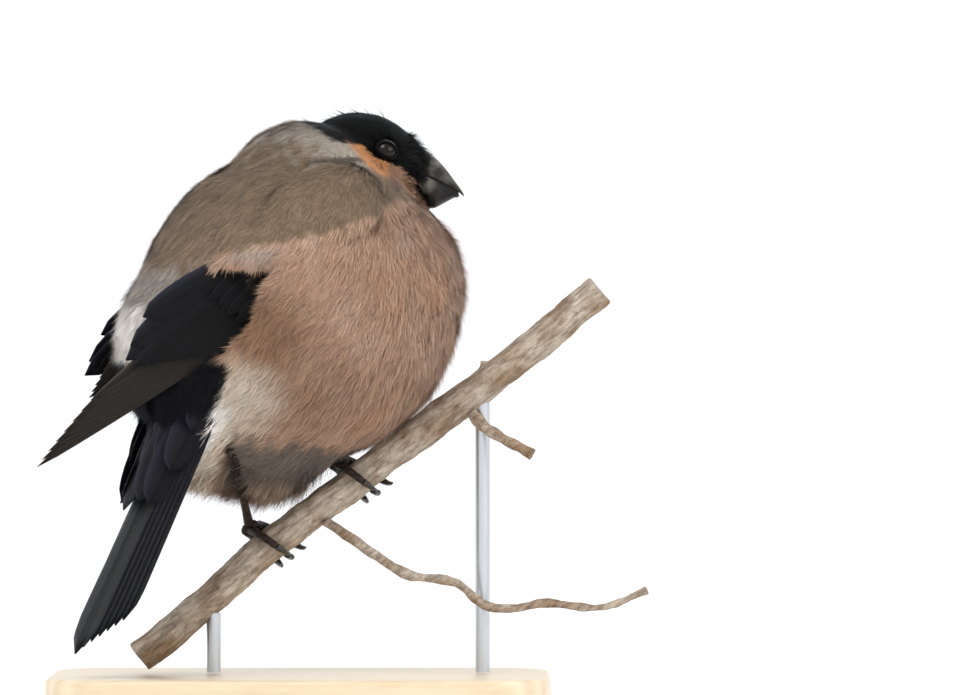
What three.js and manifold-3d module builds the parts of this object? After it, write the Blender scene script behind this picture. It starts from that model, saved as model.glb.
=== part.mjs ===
import * as THREE from 'three';
import { mergeVertices } from 'three/addons/utils/BufferGeometryUtils.js';
import Module from 'manifold-3d';

// A life-size female bullfinch, fluffed up against the cold, that grips a slanting perch.
// A flat base and two short rods hold the perch. Lengths are in millimetres.
// X runs the way the perch climbs, Z is up, and Y runs to the bird's far side.
// The origin is the middle of the base's underside.

// Driving dimensions

const GAP = 0.34;
const HEADING = THREE.MathUtils.degToRad(28);
const BODY = new THREE.Vector3(-0.6, 0, 79.8);
const HEAD = new THREE.Vector3(12, 6.5, 107.6);
const HEAD_HALF_WIDTH = 12;
const EYE_RADIUS = 2.75;
const EYE = new THREE.Vector2(17.7, 112.6);
const BILL_HALF_WIDTH = 4.7;
const PERCH_RADIUS = 3.55;
const TARSUS_RADIUS = 0.85;
const TOE_RADIUS = 0.8;
const VANE_THICK = 0.62;
const WING_LENGTH = 83;
const BASE = { length: 104, width: 70, height: 4, corner: 14, bevel: 0.7 };
const ROD_RADIUS = 1.5;
const ROD_PLACES = { low: -18, high: 38 };
const FOOT_SHARE = { right: 0.281, left: 0.464 };

const COLOURS = {
  mantle: 0x8a7f73,
  breast: 0xab8c7a,
  cap: 0x15151a,
  bill: 0x35332f,
  eye: 0x120c0a,
  flight: 0x24242c,
  coverts: 0x86807a,
  tail: 0x262630,
  vent: 0xd2c8ba,
  leg: 0x2a211c,
  claw: 0x1d1815,
  bark: 0x9a8a78,
  base: 0xd9c8ac,
  rod: 0xb8bcc0,
};

const wasm = await Module();
wasm.setup();

// Frames

const up = new THREE.Vector3(0, 0, 1);
const forward = new THREE.Vector3(Math.cos(HEADING), Math.sin(HEADING), 0);
const right = new THREE.Vector3(Math.sin(HEADING), -Math.cos(HEADING), 0);

// A point at a given x and height that lies r to the right of the bird's middle plane.
function place(x, z, r) {
  const f = (x - BODY.x - right.x * r) / forward.x;
  const point = BODY.clone().addScaledVector(forward, f).addScaledVector(right, r);
  point.z = z;
  return point;
}

// Three crossed directions: ahead, left and up, for a yaw from X and a pitch above level.
function axes(yaw, pitch) {
  const ahead = new THREE.Vector3(Math.cos(yaw) * Math.cos(pitch), Math.sin(yaw) * Math.cos(pitch),
    Math.sin(pitch));
  const left = new THREE.Vector3(-Math.sin(yaw), Math.cos(yaw), 0);
  return [ahead, left, new THREE.Vector3().crossVectors(ahead, left)];
}

let seed = 7;
function random() {
  seed = (seed * 1664525 + 1013904223) % 4294967296;
  return seed / 4294967296;
}

const vary = (amount) => (random() * 2 - 1) * amount;

// Closed meshes and solids

function meshOf(points, faces) {
  const geometry = new THREE.BufferGeometry();
  const numbers = points.flatMap((p) => [p.x, p.y, p.z]);
  geometry.setAttribute('position', new THREE.Float32BufferAttribute(numbers, 3));
  geometry.setIndex(faces);
  return geometry;
}

function solidOf(geometry) {
  const bare = geometry.clone();
  bare.deleteAttribute('normal');
  bare.deleteAttribute('uv');
  const merged = mergeVertices(bare, 1e-4);
  return new wasm.Manifold(new wasm.Mesh({
    numProp: 3,
    vertProperties: new Float32Array(merged.attributes.position.array),
    triVerts: new Uint32Array(merged.index.array),
  }));
}

// The same closed mesh with every point moved out along its normal.
function grown(geometry, distance) {
  const bare = geometry.clone();
  bare.deleteAttribute('normal');
  bare.deleteAttribute('uv');
  const merged = mergeVertices(bare, 1e-4);
  merged.computeVertexNormals();
  const spots = merged.attributes.position;
  const normal = merged.attributes.normal;
  for (let i = 0; i < spots.count; i++) {
    spots.setXYZ(i, spots.getX(i) + normal.getX(i) * distance,
      spots.getY(i) + normal.getY(i) * distance,
      spots.getZ(i) + normal.getZ(i) * distance);
  }
  return merged;
}

const fused = (geometries) => geometries.map(solidOf).reduce((a, b) => a.add(b));
const room = (geometries, gap = GAP) => fused(geometries.map((g) => grown(g, gap * 1.25)));

// Only the largest closed surface of a solid is kept.
function largest(solid) {
  return solid.decompose().reduce((a, b) => (b.volume() > a.volume() ? b : a));
}

function geometryOf(solid) {
  const mesh = largest(solid).getMesh();
  const geometry = new THREE.BufferGeometry();
  geometry.setAttribute('position', new THREE.Float32BufferAttribute(mesh.vertProperties, 3));
  geometry.setIndex([...mesh.triVerts]);
  return geometry;
}

// A puffed form: a ball whose points go out to where soft-edged egg shapes run together.
function egg(centre, size, yaw = HEADING, pitch = 0) {
  return { centre, size, basis: axes(yaw, pitch) };
}

function depthOutside(point, lobes, blend) {
  let sum = 0;
  for (const lobe of lobes) {
    const away = point.clone().sub(lobe.centre);
    const scaled = lobe.basis.map((axis, i) => away.dot(axis) / lobe.size[i]);
    const distance = (Math.hypot(...scaled) - 1) * Math.min(...lobe.size);
    sum += Math.exp(-distance / blend);
  }
  return -Math.log(sum) * blend;
}

function reach(centre, direction, lobes, blend) {
  let near = 0;
  let far = 90;
  for (let i = 0; i < 34; i++) {
    const middle = (near + far) / 2;
    const point = centre.clone().addScaledVector(direction, middle);
    if (depthOutside(point, lobes, blend) < 0) near = middle;
    else far = middle;
  }
  return near;
}

function puffed(centre, lobes, detail, blend) {
  const ball = new THREE.IcosahedronGeometry(1, detail);
  ball.deleteAttribute('normal');
  ball.deleteAttribute('uv');
  const geometry = mergeVertices(ball, 1e-5);
  const spots = geometry.attributes.position;
  for (let i = 0; i < spots.count; i++) {
    const direction = new THREE.Vector3().fromBufferAttribute(spots, i).normalize();
    const point = centre.clone().addScaledVector(direction, reach(centre, direction, lobes, blend));
    spots.setXYZ(i, point.x, point.y, point.z);
  }
  return geometry;
}

// A closed skin over rings of equal count, with a flat fan on each end.
function lofted(rings) {
  const count = rings[0].length;
  const points = rings.flat();
  const faces = [];
  for (let i = 0; i + 1 < rings.length; i++) {
    for (let j = 0; j < count; j++) {
      const a = i * count + j;
      const b = i * count + (j + 1) % count;
      faces.push(a, b, b + count, a, b + count, a + count);
    }
  }
  for (const [ring, turn] of [[0, 1], [rings.length - 1, -1]]) {
    const middle = rings[ring].reduce((sum, p) => sum.add(p), new THREE.Vector3()).divideScalar(count);
    points.push(middle);
    for (let j = 0; j < count; j++) {
      const a = ring * count + j;
      const b = ring * count + (j + 1) % count;
      faces.push(...(turn > 0 ? [points.length - 1, b, a] : [points.length - 1, a, b]));
    }
  }
  return meshOf(points, faces);
}

// A round bar along a curve, its radius given at each share of the way.
function bar(curve, radiusAt, steps, sides) {
  const frames = curve.computeFrenetFrames(steps, false);
  const rings = [];
  for (let i = 0; i <= steps; i++) {
    const t = i / steps;
    const middle = curve.getPointAt(t);
    const ring = [];
    for (let j = 0; j < sides; j++) {
      const turn = (j / sides) * Math.PI * 2;
      const radius = radiusAt(t, turn);
      ring.push(middle.clone()
        .addScaledVector(frames.normals[i], Math.cos(turn) * radius)
        .addScaledVector(frames.binormals[i], Math.sin(turn) * radius));
    }
    rings.push(ring);
  }
  return lofted(rings);
}

const smoothLine = (points) => new THREE.CatmullRomCurve3(points, false, 'centripetal');

// A feather vane: a thin leaf from root to tip, ridged along its middle and split alike on both faces.
function vane({ root, tip, face, width, bow = 0, ridge = 0.35, thick = VANE_THICK, steps = 5, roll = 0,
  point = 0.35, taper = 0.72 }) {
  const along = tip.clone().sub(root);
  const length = along.length();
  along.normalize();
  const across = new THREE.Vector3().crossVectors(along, face).normalize();
  across.applyAxisAngle(along, roll);
  const out = new THREE.Vector3().crossVectors(across, along).normalize();
  const spread = (s) => {
    const widen = Math.min(1, 0.45 + s * 2.2);
    const past = Math.max(0, (s - taper) / (1 - taper));
    const close = Math.sqrt(1 - past ** 2) * (1 - point) + point;
    return 0.5 * width * widen * close;
  };
  const top = [];
  const bottom = [];
  for (let i = 0; i <= steps; i++) {
    const s = i / steps;
    const middle = root.clone().addScaledVector(along, s * length).addScaledVector(out, bow * s * s);
    for (let j = -1; j <= 1; j++) {
      const spot = middle.clone().addScaledVector(across, j * spread(s));
      const lift = ridge * (1 - Math.abs(j));
      const half = 0.5 * thick * (1 - 0.3 * s) * (j === 0 ? 1 : 0.8);
      top.push(spot.clone().addScaledVector(out, lift + half));
      bottom.push(spot.clone().addScaledVector(out, lift - half));
    }
  }
  const points = [...top, ...bottom];
  const low = top.length;
  const faces = [];
  for (let i = 0; i < steps; i++) {
    for (let j = 0; j < 2; j++) {
      const a = i * 3 + j;
      const b = a + 1;
      const c = a + 4;
      const d = a + 3;
      faces.push(a, b, c, a, c, d);
      faces.push(low + a, low + c, low + b, low + a, low + d, low + c);
    }
    const l = i * 3;
    const r = l + 2;
    faces.push(l, l + 3, low + l + 3, l, low + l + 3, low + l);
    faces.push(r + 3, r, low + r, r + 3, low + r, low + r + 3);
  }
  const end = steps * 3;
  for (let j = 0; j < 2; j++) {
    faces.push(j + 1, j, low + j, j + 1, low + j, low + j + 1);
    faces.push(end + j, end + j + 1, low + end + j + 1, end + j, low + end + j + 1, low + end + j);
  }
  return meshOf(points, faces);
}

// The perch and its twigs

const perchLine = smoothLine([
  new THREE.Vector3(-33.6, 0, 7.4), new THREE.Vector3(-28.7, 0, 11.0), new THREE.Vector3(-17.2, 0, 21.0),
  new THREE.Vector3(-6.2, 0, 31.0), new THREE.Vector3(7.3, 0, 41.0), new THREE.Vector3(12.5, 0, 45.0),
  new THREE.Vector3(34.0, 0, 61.0), new THREE.Vector3(47.1, 0, 71.0), new THREE.Vector3(62.5, 0, 84.0),
]);

function perchGeometry() {
  const lumps = (t, turn) => 0.03 * Math.sin(t * 31) + 0.025 * Math.sin(t * 17 + turn * 2);
  const swell = (t, turn) => PERCH_RADIUS * (1 + lumps(t, turn));
  return bar(perchLine, swell, 18, 9);
}

function twig(points, thick, thin, sides) {
  const line = smoothLine(points);
  const knots = points.length * 2;
  return bar(line, (t) => THREE.MathUtils.lerp(thick, thin, t) * (1 + 0.12 * Math.cos(t * Math.PI * knots)),
    Math.round(knots * 1.6), sides);
}

const longTwig = twig([
  new THREE.Vector3(4.2, -1.5, 36.6), new THREE.Vector3(8.5, -3.4, 33.8), new THREE.Vector3(15.8, -4.6, 28.8),
  new THREE.Vector3(22.5, -5.4, 24.8), new THREE.Vector3(32.7, -6.2, 23.1),
  new THREE.Vector3(38.3, -6.6, 18.5),
  new THREE.Vector3(44.8, -6.8, 17.9), new THREE.Vector3(50.4, -7.0, 19.0),
  new THREE.Vector3(62.7, -7.6, 18.1),
  new THREE.Vector3(72.1, -8.2, 21.7),
], 1.25, 0.85, 6);

const stubTwig = twig([
  new THREE.Vector3(34.6, -1.0, 60.0), new THREE.Vector3(38.2, -4.2, 55.6),
  new THREE.Vector3(42.5, -6.0, 53.0),
  new THREE.Vector3(48.3, -7.4, 49.8),
], 1.35, 1.1, 7);

const bud = twig([new THREE.Vector3(38.2, -0.4, 64.6), new THREE.Vector3(38.1, -0.8, 69.2)], 1.2, 0.6, 8);

// The body

const bodyLobes = [
  egg(place(-0.6, 81.5, 0), [34.0, 30, 33]),
  egg(place(7, 86, 0), [25.5, 24, 20]),
  egg(place(1.5, 102, 0), [16.5, 18, 17]),
  egg(place(-22.5, 73, 0), [15.5, 14.5, 19]),
  egg(place(-6.5, 89, 0), [18, 21, 16.5]),
  egg(place(-19.5, 56, 0), [11, 11, 14], HEADING, 0.9),
  egg(place(-7, 62, 0), [17, 18, 20.5]),
];
const BODY_BLEND = 1.6;
const bodyGeometry = puffed(BODY, bodyLobes, 6, BODY_BLEND);

const headLobes = [
  egg(HEAD.clone().add(new THREE.Vector3(0.4, 0, 1.2)), [13.6, HEAD_HALF_WIDTH, 12.2], 0, -0.2),
  egg(HEAD.clone().add(new THREE.Vector3(7.2, 0, -1.4)), [8.6, 9.4, 9.4], 0, -0.2),
];
const headGeometry = puffed(HEAD, headLobes, 4, 0.8);

const COLLAR = HEAD.clone().add(new THREE.Vector3(-3.5, -1.5, -4));
const collarGeometry = puffed(COLLAR, [egg(COLLAR, [20, 21, 19], HEADING, 0)], 2, 0.5);

// The bill: two half-round horns whose edges meet along the line of the mouth.

function mandible(stations) {
  const turns = 8;
  const fullness = 0.85;
  const rings = stations.map(({ x, edge, crest, half }) => {
    const ring = [];
    for (let j = 0; j <= turns; j++) {
      const turn = (j / turns) * Math.PI;
      ring.push(new THREE.Vector3(x, HEAD.y + Math.cos(turn) * half,
        edge + Math.sin(turn) ** fullness * (crest - edge)));
    }
    return crest > edge ? ring.reverse() : ring;
  });
  return lofted(rings.reverse());
}

const upperBill = mandible([
  { x: 23.5, edge: 109.4, crest: 113.2, half: 4.3 },
  { x: 26.6, edge: 108.0, crest: 112.7, half: BILL_HALF_WIDTH },
  { x: 28.4, edge: 107.1, crest: 111.5, half: 4.3 },
  { x: 30.3, edge: 106.0, crest: 109.4, half: 3.4 },
  { x: 32.0, edge: 105.1, crest: 107.1, half: 2.2 },
  { x: 33.4, edge: 104.2, crest: 105.2, half: 1.1 },
  { x: 34.1, edge: 103.5, crest: 104.1, half: 0.4 },
]);

const lowerBill = mandible([
  { x: 23.8, edge: 108.8, crest: 102.6, half: 4.2 },
  { x: 26.6, edge: 107.5, crest: 101.0, half: BILL_HALF_WIDTH },
  { x: 28.2, edge: 106.7, crest: 101.2, half: 4.3 },
  { x: 30.2, edge: 105.6, crest: 102.3, half: 3.2 },
  { x: 32.0, edge: 104.6, crest: 103.3, half: 1.9 },
  { x: 33.1, edge: 104.0, crest: 103.4, half: 0.8 },
]);

// A nostril is a small oval pit high on the side of the upper horn, near its base.
function nostril(side) {
  const pit = new THREE.IcosahedronGeometry(1, 1);
  return pit.scale(0.75, 0.8, 0.5).rotateY(0.5).translate(27.3, HEAD.y - side * 3.7, 110.8);
}

// The eyes and their lids

function eyeCentre(side) {
  return new THREE.Vector3(EYE.x, HEAD.y - side * (HEAD_HALF_WIDTH - 3.35), EYE.y);
}

function eyeball(side) {
  const ball = new THREE.IcosahedronGeometry(EYE_RADIUS, 2);
  return ball.translate(...eyeCentre(side).toArray());
}

function lids(side) {
  const rings = 12;
  const sides = 5;
  const centre = eyeCentre(side);
  const out = new THREE.Vector3(0.25, -side, 0.22).normalize();
  const [, , high] = axes(0, -0.25);
  const level = new THREE.Vector3().crossVectors(high, out).normalize();
  const tall = new THREE.Vector3().crossVectors(out, level).normalize();
  const points = [];
  const faces = [];
  for (let i = 0; i < rings; i++) {
    const turn = (i / rings) * Math.PI * 2;
    const spoke = level.clone().multiplyScalar(Math.cos(turn) * 2.35)
      .addScaledVector(tall, Math.sin(turn) * 1.75);
    const middle = centre.clone().add(spoke).addScaledVector(out, 1.75 - 0.2 * Math.cos(turn * 2));
    const radial = spoke.clone().normalize();
    for (let j = 0; j < sides; j++) {
      const spin = (j / sides) * Math.PI * 2;
      points.push(middle.clone().addScaledVector(radial, Math.cos(spin) * 0.62)
        .addScaledVector(out, Math.sin(spin) * 0.62));
    }
  }
  for (let i = 0; i < rings; i++) {
    for (let j = 0; j < sides; j++) {
      const a = i * sides + j;
      const b = i * sides + (j + 1) % sides;
      const c = ((i + 1) % rings) * sides + (j + 1) % sides;
      const d = ((i + 1) % rings) * sides + j;
      faces.push(a, c, b, a, d, c);
    }
  }
  return meshOf(points, faces);
}

// The wings

function wingFrame(side) {
  const wrist = side > 0 ? place(10.4, 99.7, 25) : place(-10, 94, -25);
  const tip = side > 0 ? place(-54.2, 47.5, 2.5) : place(-48.5, 58.5, -7);
  const along = tip.clone().sub(wrist).normalize();
  const face = right.clone().multiplyScalar(side).addScaledVector(up, 0.42).addScaledVector(forward, -0.12);
  face.addScaledVector(along, -face.dot(along)).normalize();
  const down = new THREE.Vector3().crossVectors(face, along).multiplyScalar(side).normalize();
  const scale = tip.distanceTo(wrist) / WING_LENGTH;
  const at = (s, w, h) => wrist.clone().addScaledVector(along, s * scale).addScaledVector(down, w)
    .addScaledVector(face, h);
  return { along, face, down, at, side };
}

function shoulder(frame) {
  const lobe = (s, w, h, size) => ({
    centre: frame.at(s, w, h), size, basis: [frame.along, frame.down, frame.face],
  });
  const lobes = [lobe(-2, -3.2, 0, [11, 8, 4.6]), lobe(8, -4.2, 1.2, [12, 8.5, 4.2])];
  return puffed(frame.at(2, -3.6, 0.4), lobes, 2, 0.8);
}

function wingCoverts(frame) {
  const leaves = [];
  const tiers = [
    { count: 6, root: 10, tip: 26, low: 4, high: -11, width: 5.4, lift: 4.4 },
    { count: 5, root: 4, tip: 19, low: 2.5, high: -10, width: 5.4, lift: 5.6 },
  ];
  for (const tier of tiers) {
    for (let k = 0; k < tier.count; k++) {
      const w = THREE.MathUtils.lerp(tier.low, tier.high, k / (tier.count - 1));
      leaves.push(vane({
        root: frame.at(tier.root, w * 0.8, tier.lift - 1.4),
        tip: frame.at(tier.tip + vary(0.8) - 0.03 * (w + 3) ** 2, w, tier.lift),
        face: frame.face,
        width: tier.width,
        steps: 3,
        roll: 0.16 * frame.side,
      }));
    }
  }
  return leaves;
}

function flightFeathers(frame) {
  const leaves = [];
  const primaries = 6;
  for (let k = 0; k < primaries; k++) {
    const t = k / (primaries - 1);
    leaves.push(vane({
      root: frame.at(20, 3.2 - 4 * t, -1.6 + 1.8 * t),
      tip: frame.at(WING_LENGTH - 1.2 + 1.2 * Math.sin(t * Math.PI * 0.7) - 17 * t ** 1.4,
        0.2 - 4.8 * t, -1.2 + 1.7 * t),
      face: frame.face,
      width: 6.4,
      roll: 0.1 * frame.side,
      point: 0.12,
      taper: 0.5,
      steps: 4,
    }));
  }
  const secondaries = 4;
  for (let k = 0; k < secondaries; k++) {
    const t = k / (secondaries - 1);
    leaves.push(vane({
      root: frame.at(14, 3.2 - 6.5 * t, 0.6 + 1.5 * t),
      tip: frame.at(42 + 12 * t, 4.6 - 7 * t, 0.6 + 1.7 * t),
      face: frame.face,
      width: 9,
      roll: 0.12 * frame.side,
      steps: 3,
    }));
  }
  const tertials = [
    { s: 55.2, w: -5, root: -4.8 },
    { s: 51.5, w: -7, root: -6.2 },
    { s: 46.5, w: -8.8, root: -7.4 },
  ];
  tertials.forEach(({ s, w, root }, k) => {
    leaves.push(vane({
      root: frame.at(12, root, 2.4 + 0.55 * k),
      tip: frame.at(s, w, 2.6 + 0.6 * k),
      face: frame.face,
      width: 8.6,
      roll: 0.14 * frame.side,
      steps: 3,
    }));
  });
  return leaves;
}

// The hollow in the body that the folded flight feathers lie in.
function flightPocket(frame) {
  const basis = [frame.along, frame.down, frame.face];
  return puffed(frame.at(30, -3, 1.5), [
    { centre: frame.at(38, -2.3, 0.4), size: [36, 13.2, 4.7], basis },
    { centre: frame.at(17, -3.6, 4.4), size: [14, 12, 5], basis },
  ], 2, 0.5);
}

// The tail

const tailBase = place(-22.3, 61, 0);
const tailTip = place(-45.8, 9.4, 0);
const tailAlong = tailTip.clone().sub(tailBase).normalize();
const tailOut = new THREE.Vector3().crossVectors(right, tailAlong).normalize();
if (tailOut.z < 0) tailOut.negate();
const TAIL_LENGTH = tailTip.distanceTo(tailBase);

const onTail = (s, l, h) => tailBase.clone().addScaledVector(tailAlong, s).addScaledVector(right, l)
  .addScaledVector(tailOut, h);

function tailFeathers() {
  const leaves = [];
  const pairs = 6;
  for (let k = 0; k < pairs; k++) {
    for (const side of [1, -1]) {
      const short = side > 0 ? 2.2 + 1.85 * k : 0.8 - 0.15 * k;
      leaves.push(vane({
        root: onTail(-6, side * (0.6 + 0.25 * k), -0.5 - 0.36 * k),
        tip: onTail(TAIL_LENGTH - short, side > 0 ? 1.6 + 1.15 * k : -0.6 - 0.95 * k,
          0.9 - 0.46 * k - 0.2 * side),
        face: tailOut,
        width: 8.4,
        roll: -0.12 * side,
        steps: 3,
        point: 0.45,
      }));
    }
  }
  return leaves;
}

function tailTiers(tiers) {
  const leaves = [];
  for (const { count, root, tip, half, lift, width, sign } of tiers) {
    for (let k = 0; k < count; k++) {
      const l = THREE.MathUtils.lerp(-half, half, count > 1 ? k / (count - 1) : 0.5);
      leaves.push(vane({
        root: onTail(root, l * 0.8, sign * (lift - 0.5)),
        tip: onTail(tip + vary(1) - 0.5 * Math.abs(l), l, sign * (lift * 0.5 + 1.2)),
        face: tailOut.clone().multiplyScalar(sign),
        width,
        bow: 0.4,
        roll: (l > 0 ? -0.2 : 0.2) * sign,
        steps: 3,
      }));
    }
  }
  return leaves;
}

const upperCovertLobe = puffed(onTail(-1, 0, 3), [
  { centre: onTail(-2, 0, 3), size: [11, 9, 4.6], basis: [tailAlong, right, tailOut] },
], 2, 0.5);
const upperCovertLeaves = tailTiers([
  { count: 4, root: -2, tip: 25, half: 6.5, lift: 3.0, width: 7, sign: 1 },
  { count: 3, root: -4, tip: 17, half: 6.6, lift: 4.6, width: 8, sign: 1 },
  { count: 2, root: -6, tip: 10.5, half: 4, lift: 6, width: 8, sign: 1 },
]);
const underCovertLobe = puffed(onTail(-3, 0, -6), [
  { centre: onTail(-3, 0, -6), size: [11, 8.5, 4], basis: [tailAlong, right, tailOut] },
], 2, 0.5);
const underCovertLeaves = tailTiers([
  { count: 3, root: -4, tip: 20, half: 4.8, lift: 5, width: 8, sign: -1 },
  { count: 3, root: -6, tip: 13, half: 4.6, lift: 7, width: 7, sign: -1 },
]);

const tailPocket = puffed(onTail(10, 0, 1), [
  { centre: onTail(10, 0, 1.3), size: [22, 12.2, 7], basis: [tailAlong, right, tailOut] },
], 2, 0.5);

// The legs: each toe is a bar wound round the perch, and its claw goes on along the same line.

function perchPoint(share, turn, clear) {
  const middle = perchLine.getPointAt(share);
  const tangent = perchLine.getTangentAt(share);
  const over = new THREE.Vector3(-tangent.z, 0, tangent.x).normalize();
  const far = new THREE.Vector3(0, 1, 0);
  return middle.addScaledVector(over, Math.cos(turn) * (PERCH_RADIUS * 1.06 + clear))
    .addScaledVector(far, Math.sin(turn) * (PERCH_RADIUS * 1.06 + clear));
}

const PERCH_LENGTH = perchLine.getLength();

function toe(start, { from, to, slide, lead }) {
  const steps = 10;
  const line = [];
  for (let i = 0; i <= steps; i++) {
    const t = i / steps;
    const turn = THREE.MathUtils.degToRad(THREE.MathUtils.lerp(from, to, t));
    line.push(perchPoint(start + (lead + slide * t) / PERCH_LENGTH, turn, GAP + TOE_RADIUS + 0.1));
  }
  return smoothLine(line);
}

const CLAW_SHARE = 0.66;

class PartOfCurve extends THREE.Curve {
  constructor(whole, first, last) {
    super();
    this.whole = whole;
    this.first = first;
    this.last = last;
  }

  getPoint(t, target = new THREE.Vector3()) {
    return target.copy(this.whole.getPointAt(THREE.MathUtils.lerp(this.first, this.last, t)));
  }
}

function toeParts(start, plan) {
  const whole = toe(start, plan);
  const gapShare = GAP / whole.getLength();
  const digit = bar(new PartOfCurve(whole, 0, CLAW_SHARE),
    (t) => TOE_RADIUS * (1.06 - 0.22 * t), 5, 6);
  const claw = bar(new PartOfCurve(whole, CLAW_SHARE + gapShare, 1),
    (t) => TOE_RADIUS * 0.8 * (1 - t) ** 0.7 + 0.12, 4, 6);
  return { digit, claw };
}

const TOES = [
  { from: 8, to: 186, slide: 1.0, lead: -0.4 },
  { from: 4, to: 204, slide: 3.4, lead: 0.6 },
  { from: -2, to: 182, slide: 5.6, lead: 1.6 },
  { from: -14, to: -146, slide: 3.2, lead: 0.4 },
];

function leg(side) {
  const start = side > 0 ? FOOT_SHARE.right : FOOT_SHARE.left;
  const knuckle = perchPoint(start + 0.6 / PERCH_LENGTH, -0.05, GAP + TOE_RADIUS + 0.5);
  const heel = side > 0 ? place(-13.6, 51, 7.5) : place(8.5, 60, -4);
  const shank = bar(smoothLine([
    knuckle.clone(),
    knuckle.clone().lerp(heel, 0.2).add(new THREE.Vector3(0, -0.1, 0)),
    knuckle.clone().lerp(heel, 0.55),
    heel,
  ]), (t) => TARSUS_RADIUS * (1.25 - 0.5 * Math.sin(Math.min(1, t * 1.4) * Math.PI) + 0.25 * t), 9, 9);
  const palm = new THREE.IcosahedronGeometry(1, 1);
  palm.scale(2.0, 1.35, 1.25).rotateY(-0.68).translate(knuckle.x, knuckle.y, knuckle.z);
  const toes = TOES.map((plan) => toeParts(start, plan));
  return { shank, palm, toes };
}

// The display stand

function baseGeometry() {
  const x = BASE.length / 2 - BASE.bevel;
  const y = BASE.width / 2 - BASE.bevel;
  const c = BASE.corner;
  const outline = new THREE.Shape();
  outline.moveTo(-x + c, -y);
  outline.lineTo(x - c, -y);
  outline.absarc(x - c, -y + c, c, -Math.PI / 2, 0);
  outline.absarc(x - c, y - c, c, 0, Math.PI / 2);
  outline.absarc(-x + c, y - c, c, Math.PI / 2, Math.PI);
  outline.absarc(-x + c, -y + c, c, Math.PI, Math.PI * 1.5);
  const geometry = new THREE.ExtrudeGeometry(outline, {
    depth: BASE.height - 2 * BASE.bevel, bevelThickness: BASE.bevel, bevelSize: BASE.bevel, bevelSegments: 1,
    curveSegments: 5,
  });
  return geometry.translate(0, 0, BASE.bevel);
}

function rodGeometry(x) {
  const share = perchShareAt(x);
  const middle = perchLine.getPointAt(share);
  const height = middle.z - BASE.height;
  const rod = new THREE.CylinderGeometry(ROD_RADIUS, ROD_RADIUS, height - GAP, 20);
  return rod.rotateX(Math.PI / 2).translate(x, 0, BASE.height + GAP + (height - GAP) / 2);
}

function perchShareAt(x) {
  let low = 0;
  let high = 1;
  for (let i = 0; i < 30; i++) {
    const middle = (low + high) / 2;
    if (perchLine.getPointAt(middle).x < x) low = middle;
    else high = middle;
  }
  return low;
}

// Putting it together

const model = new THREE.Group();

function add(name, solid, colour, roughness, metalness = 0) {
  const material = new THREE.MeshStandardMaterial({ color: colour, roughness, metalness });
  const mesh = new THREE.Mesh(geometryOf(solid), material);
  mesh.name = name;
  model.add(mesh);
}

const wings = { right: wingFrame(1), left: wingFrame(-1) };
const wingArms = {};
const wingArmRooms = {};
const wingFlights = {};
const wingFlightRooms = {};
for (const [name, frame] of Object.entries(wings)) {
  const armParts = [shoulder(frame), ...wingCoverts(frame)];
  wingArms[name] = fused(armParts);
  wingArmRooms[name] = room(armParts);
  const flightParts = flightFeathers(frame);
  wingFlights[name] = fused(flightParts).subtract(wingArmRooms[name]);
  wingFlightRooms[name] = room(flightParts);
}

const perch = fused([perchGeometry(), bud]);
const perchRoom = room([perchGeometry(), bud]);
const legs = { right: leg(1), left: leg(-1) };
const legRoom = room([legs.right.shank, legs.left.shank, legs.right.palm, legs.left.palm,
  ...legs.left.toes.map(({ digit }) => digit)]);
const eyeRoom = room([eyeball(1), eyeball(-1)], GAP);
const billRoom = room([upperBill, lowerBill]);

const head = fused([headGeometry, lids(1), lids(-1)]).subtract(eyeRoom).subtract(billRoom);
const headRoom = room([headGeometry]);

const tailParts = tailFeathers();
const upperCoverts = fused([upperCovertLobe, ...upperCovertLeaves]);
const upperCovertRoom = room([upperCovertLobe, ...upperCovertLeaves]);
const underCoverts = fused([underCovertLobe, ...underCovertLeaves]).subtract(upperCovertRoom);
const underCovertRoom = room([underCovertLobe, ...underCovertLeaves]);
const tail = fused(tailParts).subtract(upperCovertRoom).subtract(underCovertRoom);

const appendages = [
  ...Object.values(wings).flatMap((frame) => [room([shoulder(frame)]), room([flightPocket(frame)])]),
  room([upperCovertLobe, underCovertLobe, tailPocket]), underCovertRoom, legRoom, perchRoom,
].reduce((a, b) => a.add(b));

const body = solidOf(bodyGeometry);
const collar = solidOf(collarGeometry);
const collarRoom = room([collarGeometry]);
const torso = body.subtract(collarRoom).subtract(headRoom).subtract(appendages).subtract(billRoom);
const neck = body.intersect(collar).subtract(headRoom).subtract(appendages).subtract(billRoom);

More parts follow.
